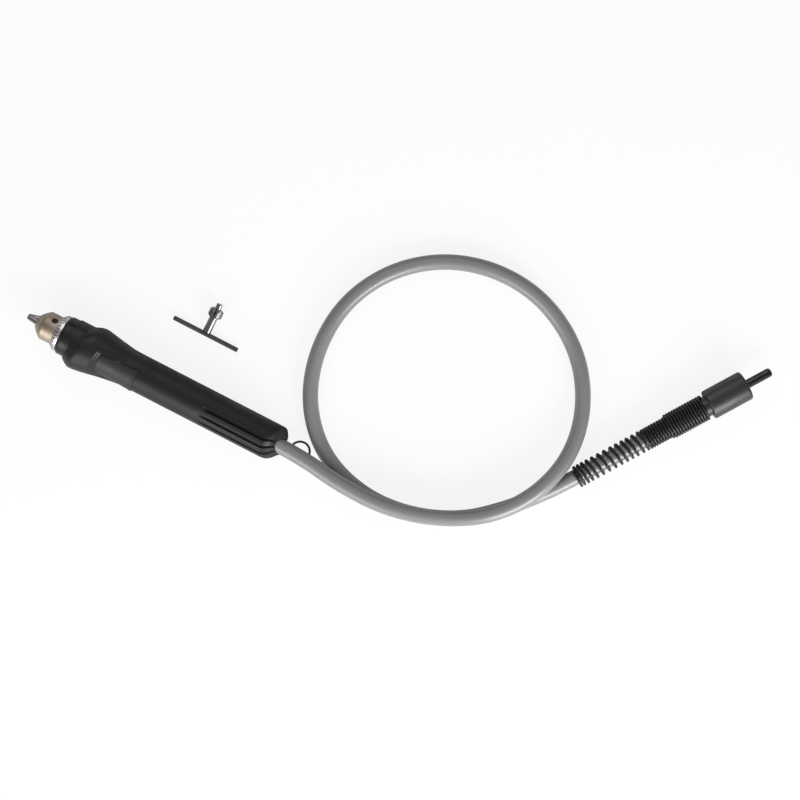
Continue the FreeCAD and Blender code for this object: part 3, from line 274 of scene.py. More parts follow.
finishes = {
    "handle_plastic": makeHandlePlastic(),
    "rest_plastic": makeRestPlastic(),
    "chuck_steel": makeTurnedSteel(
        "chuckSteel", (0.25, 0.20, 0.155, 1), (0.43, 0.37, 0.30, 1), 0.46, 1500,
        (0.16, 0.10, 0.06, 1)),
    "ring_gear_steel": makeTurnedSteel(
        "ringGearSteel", (0.40, 0.38, 0.39, 1), (0.66, 0.63, 0.65, 1), 0.30, 1800),
    "jaw_steel": makeJawSteel(),
    "black_gloss_metal": makeGlossBlack(),
    "bright_steel": makeSteel("brightSteel", 0.62, 0.22),
    "cage_steel": makeSteel("cageSteel", 0.45, 0.35, 300, 0.06),
    "hose_rubber": makeHoseSkin(),
    "liner_steel": makeSteel("linerSteel", 0.40, 0.38),
    "core_steel": makeSteel("coreSteel", 0.34, 0.40, 700),
    "spring_black": makeSpringBlack(),
    "ferrule_steel": makeSteel("ferruleSteel", 0.42, 0.32),
    "connector_black": makeSatinBlack(
        "connectorBlack", (0.013, 0.012, 0.012, 1), (0.026, 0.023, 0.023, 1), 0.40),
    "bush_bronze": makeTurnedSteel(
        "bushBronze", (0.36, 0.19, 0.10, 1), (0.55, 0.33, 0.18, 1), 0.32, 1500),
    "shank_black": makeTurnedSteel(
        "shankBlack", (0.035, 0.034, 0.036, 1), (0.07, 0.068, 0.07, 1), 0.22, 1200),
    "ring_black": makeSatinBlack(
        "ringBlack", (0.010, 0.010, 0.010, 1), (0.02, 0.02, 0.02, 1), 0.35),
    "key_steel": makeSteel("keySteel", 0.28, 0.22, 300, 0.01),
    "key_bar_dark": makeSatinBlack(
        "keyBarDark", (0.020, 0.020, 0.021, 1), (0.045, 0.045, 0.045, 1), 0.36),
}
slotOf = {row["node"]: row["material_slot"] for row in frame["record"]["subparts"]}
bodyOf = {node: body for body, members in frame["record"]["behaviour"]["bodies"].items()
          for node in members}
for node, piece in frame["nodes"].items():
    piece.data.materials.clear()
    piece.data.materials.append(finishes[slotOf[node]])
print("finishes made:", len(finishes))


def gridFaces(rows, columns, wrapRows=False, wrapColumns=False):
    # quads of a grid whose point (row, column) has the number row * columns + column
    row = np.arange(rows if wrapRows else rows - 1)[:, None]
    column = np.arange(columns if wrapColumns else columns - 1)[None, :]
    nextRow = (row + 1) % rows
    nextColumn = (column + 1) % columns
    corners = [row * columns + column, nextRow * columns + column,
               nextRow * columns + nextColumn, row * columns + nextColumn]
    return np.stack([corner.ravel() for corner in corners], axis=1)


def makePiece(name, points, faces, body, slot, replaced=(), sharp=35, values=None):
    # mesh from points and faces, welded, turned outwards, and riding on its body
    mesh = bpy.data.meshes.new(name)
    mesh.from_pydata(points.reshape(-1, 3), [], [list(face) for face in faces])
    for label, numbers in (values or {}).items():
        mesh.attributes.new(label, "FLOAT", "POINT").data.foreach_set("value", numbers.ravel())
    work = bmesh.new()
    work.from_mesh(mesh)
    bmesh.ops.remove_doubles(work, verts=work.verts, dist=1e-7)
    bmesh.ops.recalc_face_normals(work, faces=work.faces)
    work.to_mesh(mesh)
    work.free()
    return finishPiece(name, mesh, body, slot, replaced, sharp)


def finishPiece(name, mesh, body, slot, replaced, sharp):
    mesh.polygons.foreach_set("use_smooth", np.ones(len(mesh.polygons), bool))
    mesh.set_sharp_from_angle(angle=math.radians(sharp))
    mesh.materials.clear()
    mesh.materials.append(finishes[slot])
    piece = bpy.data.objects.new(name, mesh)
    bpy.context.scene.collection.objects.link(piece)
    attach(piece, body)
    if replaced:
        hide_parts(*replaced)
    return piece


def roundedOutline(corners, steps=5):
    # closed outline of (along, out, rounding) corners: each is cut back by its rounding on both
    # sides, and a quadratic curve (1-t)^2 a + 2t(1-t) corner + t^2 b goes round it
    spots = np.array([corner[:2] for corner in corners], float)
    cuts = np.array([corner[2] for corner in corners], float)
    t = np.linspace(0, 1, steps)[:, None]
    outline = []
    for index, (spot, cut) in enumerate(zip(spots, cuts)):
        if cut == 0:
            outline.append(spot[None, :])
            continue
        before = spots[index - 1] - spot
        after = spots[(index + 1) % len(spots)] - spot
        first = spot + before / np.linalg.norm(before) * cut
        last = spot + after / np.linalg.norm(after) * cut
        outline.append((1 - t) ** 2 * first + 2 * t * (1 - t) * spot + t ** 2 * last)
    return np.concatenate(outline)


def turnedPoints(outline, base, along, across, up, steps):
    # outline of (along, out) turned about an axis: point = base + along*a + out*(cos + sin)
    angle = np.linspace(0, 2 * np.pi, steps, endpoint=False)
    out = np.cos(angle)[:, None] * across + np.sin(angle)[:, None] * up
    return base + outline[:, None, :1] * along + outline[:, None, 1:] * out[None, :, :]


xAxis, yAxis, zAxis = np.eye(3)
handleAxes = (np.zeros(3), xAxis, yAxis, zAxis)


def turnedPiece(name, corners, body, slot, replaced, axes=handleAxes, steps=96):
    outline = roundedOutline(corners) * mm
    points = turnedPoints(outline, *axes, steps)
    faces = gridFaces(len(outline), steps, True, True)
    return makePiece(name, points, faces, body, slot, replaced)


def softEdges(piece, width, segments, angle):
    bevel = piece.modifiers.new("rounding", "BEVEL")
    bevel.width = width * mm
    bevel.segments = segments
    bevel.limit_method = "ANGLE"
    bevel.angle_limit = math.radians(angle)
    bevel.harden_normals = True


# weld distance, degrees between triangles that count as one flat, and the bevels on hard edges
softening = {"weld": 1e-6, "flat": 0.6, "segments": 2, "sharp": 32}


def softenedCopy(node, name, width):
    # copy of a kept solid with its triangles welded and its hard edges rounded off
    s = softening
    source = frame["nodes"][node].data
    mesh = bpy.data.meshes.new(name)
    points = np.zeros(len(source.vertices) * 3)
    source.vertices.foreach_get("co", points)
    corners = np.zeros(len(source.loops), int)
    source.loops.foreach_get("vertex_index", corners)
    mesh.from_pydata(points.reshape(-1, 3), [], corners.reshape(-1, 3).tolist())
    work = bmesh.new()
    work.from_mesh(mesh)
    bmesh.ops.remove_doubles(work, verts=work.verts, dist=s["weld"])
    bmesh.ops.dissolve_limit(work, angle_limit=math.radians(s["flat"]), verts=work.verts,
                             edges=work.edges)
    work.to_mesh(mesh)
    work.free()
    piece = finishPiece(name, mesh, bodyOf[node], slotOf[node], (node,), s["sharp"])
    softEdges(piece, width, s["segments"], s["sharp"])


def smoothThrough(x, places, heights):
    # smooth curve through stations: cubic Hermite pieces whose slope at a station is the
    # harmonic mean of the slopes beside it, or nought where they differ in sign
    places = np.array(places, float)
    heights = np.array(heights, float)
    slopes = np.diff(heights) / np.diff(places)
    product = slopes[1:] * slopes[:-1]
    total = slopes[1:] + slopes[:-1]
    inner = np.where(product > 0, 2 * product / np.where(total == 0, 1, total), 0)
    ends = np.concatenate([[slopes[0]], inner, [slopes[-1]]])
    x = np.clip(x, places[0], places[-1])
    piece = np.clip(np.searchsorted(places, x, side="right") - 1, 0, len(slopes) - 1)
    width = places[piece + 1] - places[piece]
    t = (x - places[piece]) / width
    return ((1 + 2 * t) * (1 - t) ** 2 * heights[piece]
            + t * (1 - t) ** 2 * width * ends[piece]
            + t ** 2 * (3 - 2 * t) * heights[piece + 1]
            + t ** 2 * (t - 1) * width * ends[piece + 1])


def ease(x, low, high):
    # 0 below low, 1 above high, and 3t^2 - 2t^3 between
    t = np.clip((x - low) / (high - low), 0, 1)
    return t * t * (3 - 2 * t)


drive = [joint for joint in frame["joints"] if joint["name"] == "drive_spin"][0]
couplingAlong = np.array(drive["axis"])
couplingRear = np.array(drive["pos_m"])          # middle of the connector's far face
couplingAcross = np.cross(zAxis, couplingAlong)
couplingAcross /= np.linalg.norm(couplingAcross)
couplingUp = np.cross(couplingAlong, couplingAcross)
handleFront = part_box("nose_cap")[1].x / mm
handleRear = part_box("upper_shell")[1].x / mm
# metres: thickness and length of the hose, radii of what lies inside it, and its laid-out route
hose = {
    "diameter": 0.0123, "length": 1.05, "liner": 0.0042, "core": 0.0025,
    # degree of the spline plus one, and steps between two points of the route
    "order": 3, "stepsPerPoint": 12,
    "route": [
        (0.20398, 0, 0), (0.238, 0, 0), (0.276, -0.0055, 0.0032), (0.317, -0.0055, 0.0043),
        (0.357, 0.0055, 0.0044), (0.3924, 0.0261, 0.0043), (0.4169, 0.0586, 0.0032),
        (0.427, 0.098, -0.0015), (0.4188, 0.1383, -0.0075), (0.3943, 0.1733, -0.0102),
        (0.3547, 0.1963, -0.0102), (0.311, 0.201, -0.0102), (0.2685, 0.189, -0.0102),
        (0.2341, 0.1612, -0.0102), (0.2135, 0.1218, -0.0102), (0.2116, 0.0774, -0.0102),
        (0.2258, 0.0372, -0.0102), (0.2555, 0.0072, -0.0102), (0.296, -0.0055, -0.0102),
        (0.336, -0.0025, -0.0102), (0.374, 0.013, -0.0102), (0.401, 0.0365, -0.0102),
        (0.4185, 0.057, -0.0098), (0.433422, 0.076174, -0.007552),
        (0.50755, 0.18587, -0.004214)],
}


def makeLine(name, route, radius, slot, replaced, ringSteps):
    # round bar or tube along one smooth spline
    curve = bpy.data.curves.new(name, "CURVE")
    curve.dimensions = "3D"
    spline = curve.splines.new("NURBS")
    spline.points.add(len(route) - 1)
    spline.points.foreach_set("co", np.column_stack([route, np.ones(len(route))]).ravel())
    spline.order_u = hose["order"]
    spline.use_endpoint_u = True
    spline.resolution_u = hose["stepsPerPoint"]
    curve.bevel_depth = radius
    curve.bevel_resolution = ringSteps
    curve.use_fill_caps = True
    curve.materials.append(finishes[slot])
    piece = bpy.data.objects.new(name, curve)
    bpy.context.scene.collection.objects.link(piece)
    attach(piece, "handle")
    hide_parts(*replaced)
    return piece


def makeHose():
    sheath = makeLine("hoseSheath", hose["route"], hose["diameter"] / 2, "hose_rubber",
                      ["hose_sheath"], 10)
    liner = makeLine("hoseLiner", hose["route"], hose["liner"], "liner_steel", ["hose_liner"], 4)
    # the core goes on at both ends: into the spindle and up to the rear core tip
    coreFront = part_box("flex_core")[0].x
    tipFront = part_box("rear_core_tip")[0] - Vector(couplingRear)
    coreRear = couplingRear + couplingAlong * tipFront.dot(Vector(couplingAlong))
    route = [(coreFront, 0, 0)] + hose["route"][1:-1] + [tuple(coreRear)]
    core = makeLine("flexCore", route, hose["core"], "core_steel", ["flex_core"], 3)
    return sheath, liner, core


spring = {
    # along the coupling's axis from the connector's far face: start, end of the open coils,
    # end of the narrow close coils, end of the wide ones
    "start": -152.54, "openEnd": -88.94, "closeEnd": -69.58, "end": -35.7,
    # how far before and after the narrow coils' end they widen
    "widenBefore": 1.0, "widenAfter": 1.6,
    # radius of the wire, radii of the coils to the wire's middle, pitch of the close coils
    "wire": 1.16, "closeRadius": 7.84, "wideRadius": 9.44, "closePitch": 2.42,
    # where round the axis the wire starts, in radians, and its size at its two ends
    "startTurn": 0.6, "endSize": 0.02, "stepsPerTurn": 26, "wireSteps": 10,
    # pitch of the open coils, from the hose's side: tight first coils, then wider, then closing
    "openPitches": [2.5, 3.4, 3.7, 4.4, 5.0, 5.5, 5.5, 5.7, 5.1, 5.1, 4.5, 5.2, 5.0, 3.2],
}


def makeSpring():
    # one wire on a helix whose pitch and radius change along it: place = the sum of the pitches,
    # wire point = centre + wire * (cos b * outwards + sin b * sideways)
    s = spring
    pitches = np.array(s["openPitches"])
    pitches = pitches * (s["openEnd"] - s["start"] - s["wire"]) / pitches.sum()
    closeLength = s["end"] - s["wire"] - s["openEnd"]
    closeTurns = int(round(closeLength / s["closePitch"]))
    closed = np.full(closeTurns, closeLength / closeTurns)
    reached = np.cumsum(np.concatenate([pitches, closed]))
    places = s["start"] + s["wire"] + np.concatenate([[0], reached])
    turns = np.arange(len(places))
    count = int(turns[-1] * s["stepsPerTurn"]) + 1
    turn = np.linspace(0, turns[-1], count)
    along = smoothThrough(turn, turns, places)
    radius = s["closeRadius"] + (s["wideRadius"] - s["closeRadius"]) * ease(
        along, s["closeEnd"] - s["widenBefore"], s["closeEnd"] + s["widenAfter"])
    angle = 2 * np.pi * turn + s["startTurn"]
    out = np.cos(angle)[:, None] * couplingAcross + np.sin(angle)[:, None] * couplingUp
    middle = couplingRear + (along[:, None] * couplingAlong + radius[:, None] * out) * mm
    way = np.gradient(middle, axis=0)
    way /= np.linalg.norm(way, axis=1)[:, None]
    side = np.cross(way, out)
    around = np.linspace(0, 2 * np.pi, s["wireSteps"], endpoint=False)
    size = np.ones(count)
    size[[0, -1]] = s["endSize"]              # the wire's ends close on a small flat
    size = size[:, None, None] * s["wire"] * mm
    rows = middle[:, None, :] + size * (np.cos(around)[None, :, None] * out[:, None, :]
                                        + np.sin(around)[None, :, None] * side[:, None, :])
    first = np.repeat(rows[:1].mean(axis=1, keepdims=True), s["wireSteps"], axis=1)
    last = np.repeat(rows[-1:].mean(axis=1, keepdims=True), s["wireSteps"], axis=1)
    points = np.concatenate([first, rows, last])
    crest = np.repeat(np.cos(around)[None, :], len(points), axis=0)
    faces = gridFaces(len(points), s["wireSteps"], False, True)
    return makePiece("bendSpring", points, faces, "handle", "spring_black", ["bend_spring"], 60,
                     {"crest": crest.astype(np.float32)})


sheath, liner, core = makeHose()
springPiece = makeSpring()
print("hose, core and spring made")


coupling = {
    # connector: shell with rounded edges round a bore, a lip round the spring's ferrule, end plug
    "radius": 12.0, "edge": 1.3, "rearEdge": 2.05, "bore": 9.9, "length": 33.5, "lip": 2.4,
    "neck": 8.24, "neckEdge": 0.3, "plug": 6.5, "plugInset": 0.25, "plugGap": 0.05, "plugEdge": 0.3,
    "bush": 5.4, "bushEdge": 0.2,
    # drive shank: socket for the core's tip, tail, collar between bush and washer, journal, shank
    "socket": 2.0, "tail": 3.4, "tailLength": 4.0, "tailEdge": 0.3, "collar": 6.4,
    "collarLength": 5.0, "collarEdge": 0.5, "flange": 1.4, "washer": 0.8, "journal": 3.8,
    "shoulder": 0.5, "journalEdge": 0.1, "shank": 3.6, "shankEdge": 0.05, "reach": 22.0, "tip": 2.6}
couplingAxes = (couplingRear, couplingAlong, couplingAcross, couplingUp)


def makeConnector():
    c = coupling
    front = -c["length"]
    turnedPiece("connectorShell", [
        (front, c["neck"], c["neckEdge"]), (front, c["radius"], c["edge"]),
        (0, c["radius"], c["rearEdge"]), (0, c["bore"], 0), (front + c["lip"], c["bore"], 0),
        (front + c["lip"], c["neck"], 0)],
        "handle", "connector_black", ["connector_shell"], couplingAxes)
    turnedPiece("connectorPlug", [
        (-c["plug"], c["bush"], 0), (-c["plug"], c["bore"], 0),
        (-c["plugInset"], c["bore"] - c["plugGap"], c["plugEdge"]),
        (-c["plugInset"], c["bush"], c["bushEdge"])],
        "handle", "connector_black", ["connector_plug"], couplingAxes)


def makeDriveShank():
    c = coupling
    collarRear = -(c["plug"] + c["flange"] + c["washer"])
    collarFront = collarRear - c["collarLength"]
    tailFront = collarFront - c["tailLength"]
    turnedPiece("driveShank", [
        (tailFront, c["socket"], 0), (tailFront, c["tail"], c["tailEdge"]),
        (collarFront, c["tail"], c["tailEdge"]), (collarFront, c["collar"], c["collarEdge"]),
        (collarRear, c["collar"], c["collarEdge"]), (collarRear, c["journal"], 0),
        (c["shoulder"], c["journal"], c["journalEdge"]),
        (c["shoulder"], c["shank"], c["shankEdge"]), (c["reach"], c["shank"], c["tip"]),
        (c["reach"], 0, 0), (collarRear, 0, 0), (collarRear, c["socket"], 0)],
        "drive", "shank_black", ["drive_shank"], couplingAxes, 64)


makeConnector()
makeDriveShank()
print("coupling made")


# all angles of the handle are degrees from +Y over the top, the same for both halves
handle = {
    "neck": 16.45, "grip": 14.87, "sharp": 42,
    # front edge: its rounding, the inside of its lip round the shiny ring, how far its tongue over
    # the top reaches forward, the half-width of the tongue, and how far back it fades out
    "frontEdge": 0.5, "frontLip": 15.75, "frontTongue": 4.9, "tongueSpread": 31.0, "tongueFade": 14,
    # seam between the halves: its depth and width
    "parting": 0.22, "partingWidth": 1.3,
    # guard: radius of its crest behind the handle's front, where its leaning front slope starts,
    # how long that is, how full it is, and its height as a share of its width
    "guardAlong": [0, 8.3, 14, 25, 38, 50, 57],
    "guardRadius": [21.2, 21.3, 20.7, 18.75, 16.5, 15.0, 14.87],
    "guardMiddle": 5.6, "guardLean": 6.7, "guardRise": 10.75, "guardRiseLean": 1.75,
    "guardFull": 1.15, "guardHeight": 0.62,
    # rear end: distance from the end, radius and sideways shift
    "endAlong": [0, 0.5, 1.6, 3.0, 4.6, 6.6, 9.0, 12.0],
    "endRadius": [7.4, 8.1, 9.6, 11.5, 12.9, 13.9, 14.6, 14.87],
    "endShift": [0.8, 1.2, 1.8, 1.9, 1.5, 0.9, 0.25, 0],
    # the upper half's rear end slopes: how far its top lies ahead of its parting edge, and
    # between which distances from the end the slope sets in
    "endSlope": 6.45, "slopeFar": 32, "slopeNear": 12,
    # thumb rest: angles of its long edges, and how much the upper one leans; the lean's reach
    # around that edge, ahead of the rest and behind it
    "restLow": 86.0, "restHigh": 167.0, "restLean": 4.5, "leanAround": [4, 24],
    "leanAhead": [14, 2], "leanBehind": [4, 20],
    # bow of its front edge and how far round that it fades; length of the wall ahead of it,
    # softness of the recess's edge, height of the recess over the saddle, length of its steps
    "restBow": 1.6, "bowFade": [3.0, 12.0], "restWall": 4.6, "restSoft": 2.5,
    "restClear": 0.05, "restStep": 0.1,
    # saddle: its height, rise and lip at the rear, pocket under it, gap round it, rounded rim
    "restFloor": 15.25, "restRise": 0.35, "riseFrom": 14, "restLip": 0.75, "lipFrom": 3.2,
    "lipTop": 0.6, "restPocket": 13.3, "restRoot": 0.1, "restGap": 0.12, "restInset": 0.35,
    "restRound": 0.3,
    # grooves: their angles, half-width and depth, where they start behind the handle's front,
    # and between which distances from there they deepen and get their painted shade
    "grooveAngles": [93.5, 119.0, 144.5], "grooveWide": 1.2, "grooveDeep": 1.6,
    "grooveStart": 117.0, "grooveDeepen": [-2.5, 6], "grooveShaded": [-1.5, 0.5],
    # painted groove shade fades out between these shares of a groove's half-width; the painted
    # highlight beside a groove peaks at a share of it from the groove's middle, with a spread; radii
    # over which the guard's crest wears; and how much the grooves' painted highlights, the recess and the crest
    # count in the wear
    "shadeFade": [0.3, 1.0], "sheenPeak": 1.5, "sheenSpread": 0.5, "crestWorn": [19.0, 21.3],
    "grooveSheen": 0.5, "recessWear": 0.2, "crestWear": 0.5,
}
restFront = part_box("upper_thumb_rest")[0].x / mm
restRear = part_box("upper_thumb_rest")[1].x / mm
floorHeight = cadLow.z / mm
restSpan = handle["restHigh"] - handle["restLow"]


def restBow(angle):
    # how far the thumb rest's front edge bows forward: a half sine across its span
    share = np.clip((angle - handle["restLow"]) / restSpan, 0, 1)
    return handle["restBow"] * np.sin(np.pi * share)


def bowed(station, angle):
    # stations moved forward by the bow, most at the rest's front edge
    reach = 1 - ease(np.abs(station - restFront), *handle["bowFade"])
    return station - restBow(angle) * reach


def leaningAngles(station, angle):
    # the columns beside the rest's upper edge lean, so that the edge runs from +half to -half lean
    h = handle
    share = np.clip((station - restFront) / (restRear - restFront), 0, 1)
    near = 1 - ease(np.abs(angle - h["restLow"]), *h["leanAround"])
    ahead = ease(station, *[restFront - far for far in h["leanAhead"]])
    behind = ease(station, *[restRear + far for far in h["leanBehind"]])
    return angle + h["restLean"] * (0.5 - share) * near * (ahead * (1 - behind))


def frontTongue(angle):
    # how far the upper and lower halves' front edges reach forward over the middle of each
    return handle["frontTongue"] * (1 - ease(np.abs(angle - 90), 0, handle["tongueSpread"]))


def handleSkin(x, angle):
    # half-widths and sideways shift of the smooth handle, without rests and grooves
    h = handle
    lean = np.cos(np.radians(angle))
    behind = x - handleFront
    crest = smoothThrough(behind, h["guardAlong"], h["guardRadius"])
    rise = np.clip((behind - h["guardMiddle"] - h["guardLean"] * lean)
                   / (h["guardRise"] + h["guardRiseLean"] * lean), 0, 1)
    swell = np.sin(rise * np.pi / 2) ** h["guardFull"]
    guard = h["neck"] + (crest - h["neck"]) * swell
    radius = np.where(behind < h["guardAlong"][-1], guard, h["grip"])
    toEnd = handleRear - x
    atEnd = toEnd < h["endAlong"][-1]
    radius = np.where(atEnd, smoothThrough(toEnd, h["endAlong"], h["endRadius"]), radius)
    shift = np.where(atEnd, smoothThrough(toEnd, h["endAlong"], h["endShift"]), 0.0)
    edge = np.clip(1 - behind / h["frontEdge"], 0, 1)
    radius = radius - h["frontEdge"] * (1 - np.sqrt(1 - edge ** 2))
    tall = np.where(radius > h["neck"], h["neck"] + (radius - h["neck"]) * h["guardHeight"], radius)
    return radius, tall, shift


def restFloor(x):
    # height of the thumb rest's saddle: level, then rising, with a lip at its rear
    h = handle
    lipStart = restRear - h["lipFrom"]
    return (h["restFloor"] + h["restRise"] * ease(x, restRear - h["riseFrom"], lipStart)
            + (h["restLip"] - h["restRise"]) * ease(x, lipStart, restRear - h["lipTop"]))


def handleRows():
    # stations along the handle, closer where the form turns: front edge, guard, wall ahead of the
    # rest, rest with a pair of rows at each end, grip, start of the grooves, rear end
    step = handle["restStep"]
    pairs = [restFront - step, restFront, restRear, restRear + step]
    rows = [np.linspace(0, 0.7, 6) + handleFront, np.arange(1.2, 20, 0.6) + handleFront,
            np.arange(20.0, restFront - handleFront - 3, 0.5) + handleFront,
            np.linspace(restFront - 2.9, restFront - 0.25, 14), pairs,
            np.arange(restFront + 0.6, restRear - 0.4, 0.7),
            np.linspace(restRear + 0.4, restRear + 2, 4), np.arange(restRear + 4, 151, 3.0),
            np.linspace(152, 163, 26), np.arange(165, handleRear - 12.5, 2.5),
            handleRear - np.linspace(12, 0, 46)]
    return np.unique(np.round(np.concatenate(rows), 4))


def handleAngles():
    # angles over the half turn, closer at the rest's edges, in the grooves and at the seams
    h = handle
    seam = np.array([0, 0.4, 0.9, 1.5, 2.2, 3.0])
    close = [np.linspace(edge - 0.9, edge + 0.9, 7) for edge in (h["restLow"], h["restHigh"])]
    close += [np.linspace(centre - 5, centre + 5, 21) for centre in h["grooveAngles"]]
    close += [seam, 180 - seam]
    return np.unique(np.round(np.concatenate([np.linspace(0, 180, 91)] + close), 3))


def shellPoints(up):
    # outer skin of one half: point = (x, shift + radius cos, height sin), sunk by rest and grooves;
    # with it, at each point, the wear with the painted ridge highlights, and the painted groove shade
    h = handle
    station = handleRows()[:, None]
    column = handleAngles()[None, :]
    angle = leaningAngles(station, column)
    x = bowed(station, column)
    radius, tall, shift = handleSkin(x, angle)
    c, s = np.cos(np.radians(angle)), np.sin(np.radians(angle))
    x = x - frontTongue(column) * (1 - ease(station, handleFront, handleFront + h["tongueFade"]))
    sloping = ease(station, handleRear - h["slopeFar"], handleRear - h["slopeNear"])
    x = x - h["endSlope"] * s * sloping * (up > 0)
    # recess round the thumb rest, and the pocket that it sits in
    inside = (ease(column, h["restLow"] - h["restSoft"], h["restLow"])
              * (1 - ease(column, h["restHigh"], 180)))
    slope = ease(station, restFront - h["restWall"], restFront - h["restStep"])
    behindRest = ease(station, restRear, restRear + h["restStep"])
    deep = np.maximum(radius - h["restFloor"] - h["restClear"], 0)
    scoop = deep * slope * (1 - behindRest) * inside
    window = (ease(station, restFront - h["restStep"], restFront) * (1 - behindRest)
              * (column > h["restLow"] - 0.01) * (column < h["restHigh"] + 0.01))
    pocket = (np.minimum(radius, h["restFloor"]) - h["restPocket"]) * window
    sink = scoop + pocket
    # grooves: a half ellipse across each, painted highlights on the ridges beside them, painted shade at the
    # bottom
    grooveStart = h["grooveStart"] + handleFront
    deepen = ease(station, *[grooveStart + far for far in h["grooveDeepen"]])
    shaded = ease(station, *[grooveStart + far for far in h["grooveShaded"]])
    wearAndSheen = np.zeros_like(sink)
    grooveShade = np.zeros_like(sink)
    for centre in h["grooveAngles"]:
        away = np.abs(angle - centre) * np.pi / 180 * h["grip"] / h["grooveWide"]
        sink = sink + deepen * h["grooveDeep"] * np.sqrt(np.clip(1 - away ** 2, 0, 1))
        # painted highlight: the ridges beside each groove get a lighter share
        wearAndSheen = wearAndSheen + deepen * np.exp(-((away - h["sheenPeak"]) / h["sheenSpread"]) ** 2)
        # painted shade: the groove's bottom gets a dark share
        grooveShade = grooveShade + shaded * (1 - ease(away, *h["shadeFade"]))
    seam = np.minimum(angle, 180 - angle) * np.pi / 180 * h["grip"]
    sink = sink + h["parting"] * (1 - ease(seam, 0, h["partingWidth"] / 2))
    wearAndSheen = np.clip(wearAndSheen * h["grooveSheen"] + scoop * h["recessWear"]
                   + ease(radius, *h["crestWorn"]) * h["crestWear"], 0, 1)
    points = np.stack([x, shift + (radius - sink) * c, (tall - sink) * s], axis=-1)
    return points, wearAndSheen, grooveShade


# inside of the handle, radii but for three: hose throat, length of the ferrule's rim, its sleeve,
# way to the rear bearing, room for the spindle as far as wideFrom behind the front bearing, way
# on to that, its front, the shiny ring's bore, the spigot in it and the length of its shoulder
cavity = {"throat": 6.4, "rim": 3, "sleeve": 7.9, "rear": 8.2, "wide": 11.8, "wideFrom": 68,
          "narrow": 9.2, "front": 9.6, "ringBore": 12.8, "spigot": 14.3, "shoulder": 0.4}


def cavityOutline():
    # (station, radius) from the handle's rear end forwards, with the bearing seats and ferrule
    # where the solids have them
    k = cavity
    front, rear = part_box("front_bearing_outer_race"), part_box("rear_bearing_outer_race")
    seat = front[1].z / mm
    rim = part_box("handle_ferrule")[1]
    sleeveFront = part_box("handle_ferrule")[0].x / mm
    rimFront = rim.x / mm - k["rim"]
    f0, f1, r0, r1 = front[0].x / mm, front[1].x / mm, rear[0].x / mm, rear[1].x / mm
    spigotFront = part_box("upper_shell")[0].x / mm
    lipBottom = handleFront + k["shoulder"]
    return np.array([
        (handleRear, k["throat"]), (rim.x / mm, k["throat"]), (rim.x / mm, rim.z / mm),
        (rimFront, rim.z / mm), (rimFront, k["sleeve"]), (sleeveFront, k["sleeve"]),
        (r1, k["rear"]), (r1, seat), (r0, seat), (r0, k["wide"]), (f1 + k["wideFrom"], k["wide"]),
        (f1 + k["wideFrom"], k["narrow"]), (f1, k["narrow"]), (f1, seat), (f0, seat),
        (f0, k["front"]), (handleFront, k["front"]), (handleFront, k["ringBore"]),
        (spigotFront, k["ringBore"]), (spigotFront, k["spigot"]), (lipBottom, k["spigot"]),
        (lipBottom, handle["frontLip"]), (handleFront, handle["frontLip"])])


def sweptFaces(rows, columns):
    # closed loops of rows points, swept over the columns, with a flat face at both ends
    faces = gridFaces(rows, columns, True, False).tolist()
    faces.append([row * columns for row in range(rows)])
    faces.append([row * columns + columns - 1 for row in reversed(range(rows))])
    return faces


def makeShell(name, node, up):
    # closed half shell: the skin and the cavity as one loop of stations, swept over the half turn
    outer, wearAndSheen, grooveShade = shellPoints(up)
    angle = np.radians(handleAngles())[None, :]
    inner = cavityOutline()
    radius = inner[:, 1:]
    inside = np.stack([inner[:, :1] + 0 * angle, radius * np.cos(angle), radius * np.sin(angle)],
                      axis=-1)
    inside[-1, :, 0] -= frontTongue(handleAngles())
    if up > 0:
        inside[0, :, 0] -= handle["endSlope"] * np.sin(angle[0])
    points = np.concatenate([outer, inside])
    if up < 0:
        points[..., 2] = np.maximum(-points[..., 2], floorHeight)
    # the cavity gets no wear, no painted highlight and no painted groove shade
    wearAndSheen, grooveShade = [np.concatenate([value, np.zeros(inside.shape[:2])]).astype(np.float32)
                   for value in (wearAndSheen, grooveShade)]
    return makePiece(name, points * mm, sweptFaces(*points.shape[:2]), "handle", "handle_plastic",
                     [node], handle["sharp"], {"wearAndSheen": wearAndSheen, "grooveShade": grooveShade})


drillSegments = 48


def drill(piece, holes):
    # round holes cut through a piece: (x, y, low, high, radius) each
    work = bmesh.new()
    for x, y, low, high, radius in holes:
        made = bmesh.ops.create_cone(work, cap_ends=True, segments=drillSegments,
                                     radius1=radius * mm, radius2=radius * mm,
                                     depth=(high - low) * mm)
        bmesh.ops.translate(work, verts=made["verts"], vec=Vector((x, y, (low + high) / 2)) * mm)
    mesh = bpy.data.meshes.new("drills")
    work.to_mesh(mesh)
    work.free()
    tool = bpy.data.objects.new("drills", mesh)
    bpy.context.scene.collection.objects.link(tool)
    cut = piece.modifiers.new("holes", "BOOLEAN")
    cut.object = tool
    cut.operation = "DIFFERENCE"
    cut.solver = "MANIFOLD"
    bpy.context.view_layer.update()
    shown = piece.evaluated_get(bpy.context.evaluated_depsgraph_get())
    cutMesh = bpy.data.meshes.new_from_object(shown)
    piece.modifiers.clear()
    piece.data = cutMesh
    bpy.data.objects.remove(tool)
    cutMesh.polygons.foreach_set("use_smooth", np.ones(len(cutMesh.polygons), bool))
    cutMesh.set_sharp_from_angle(angle=math.radians(handle["sharp"]))
    print(piece.name, "drilled:", len(cutMesh.polygons), "faces")


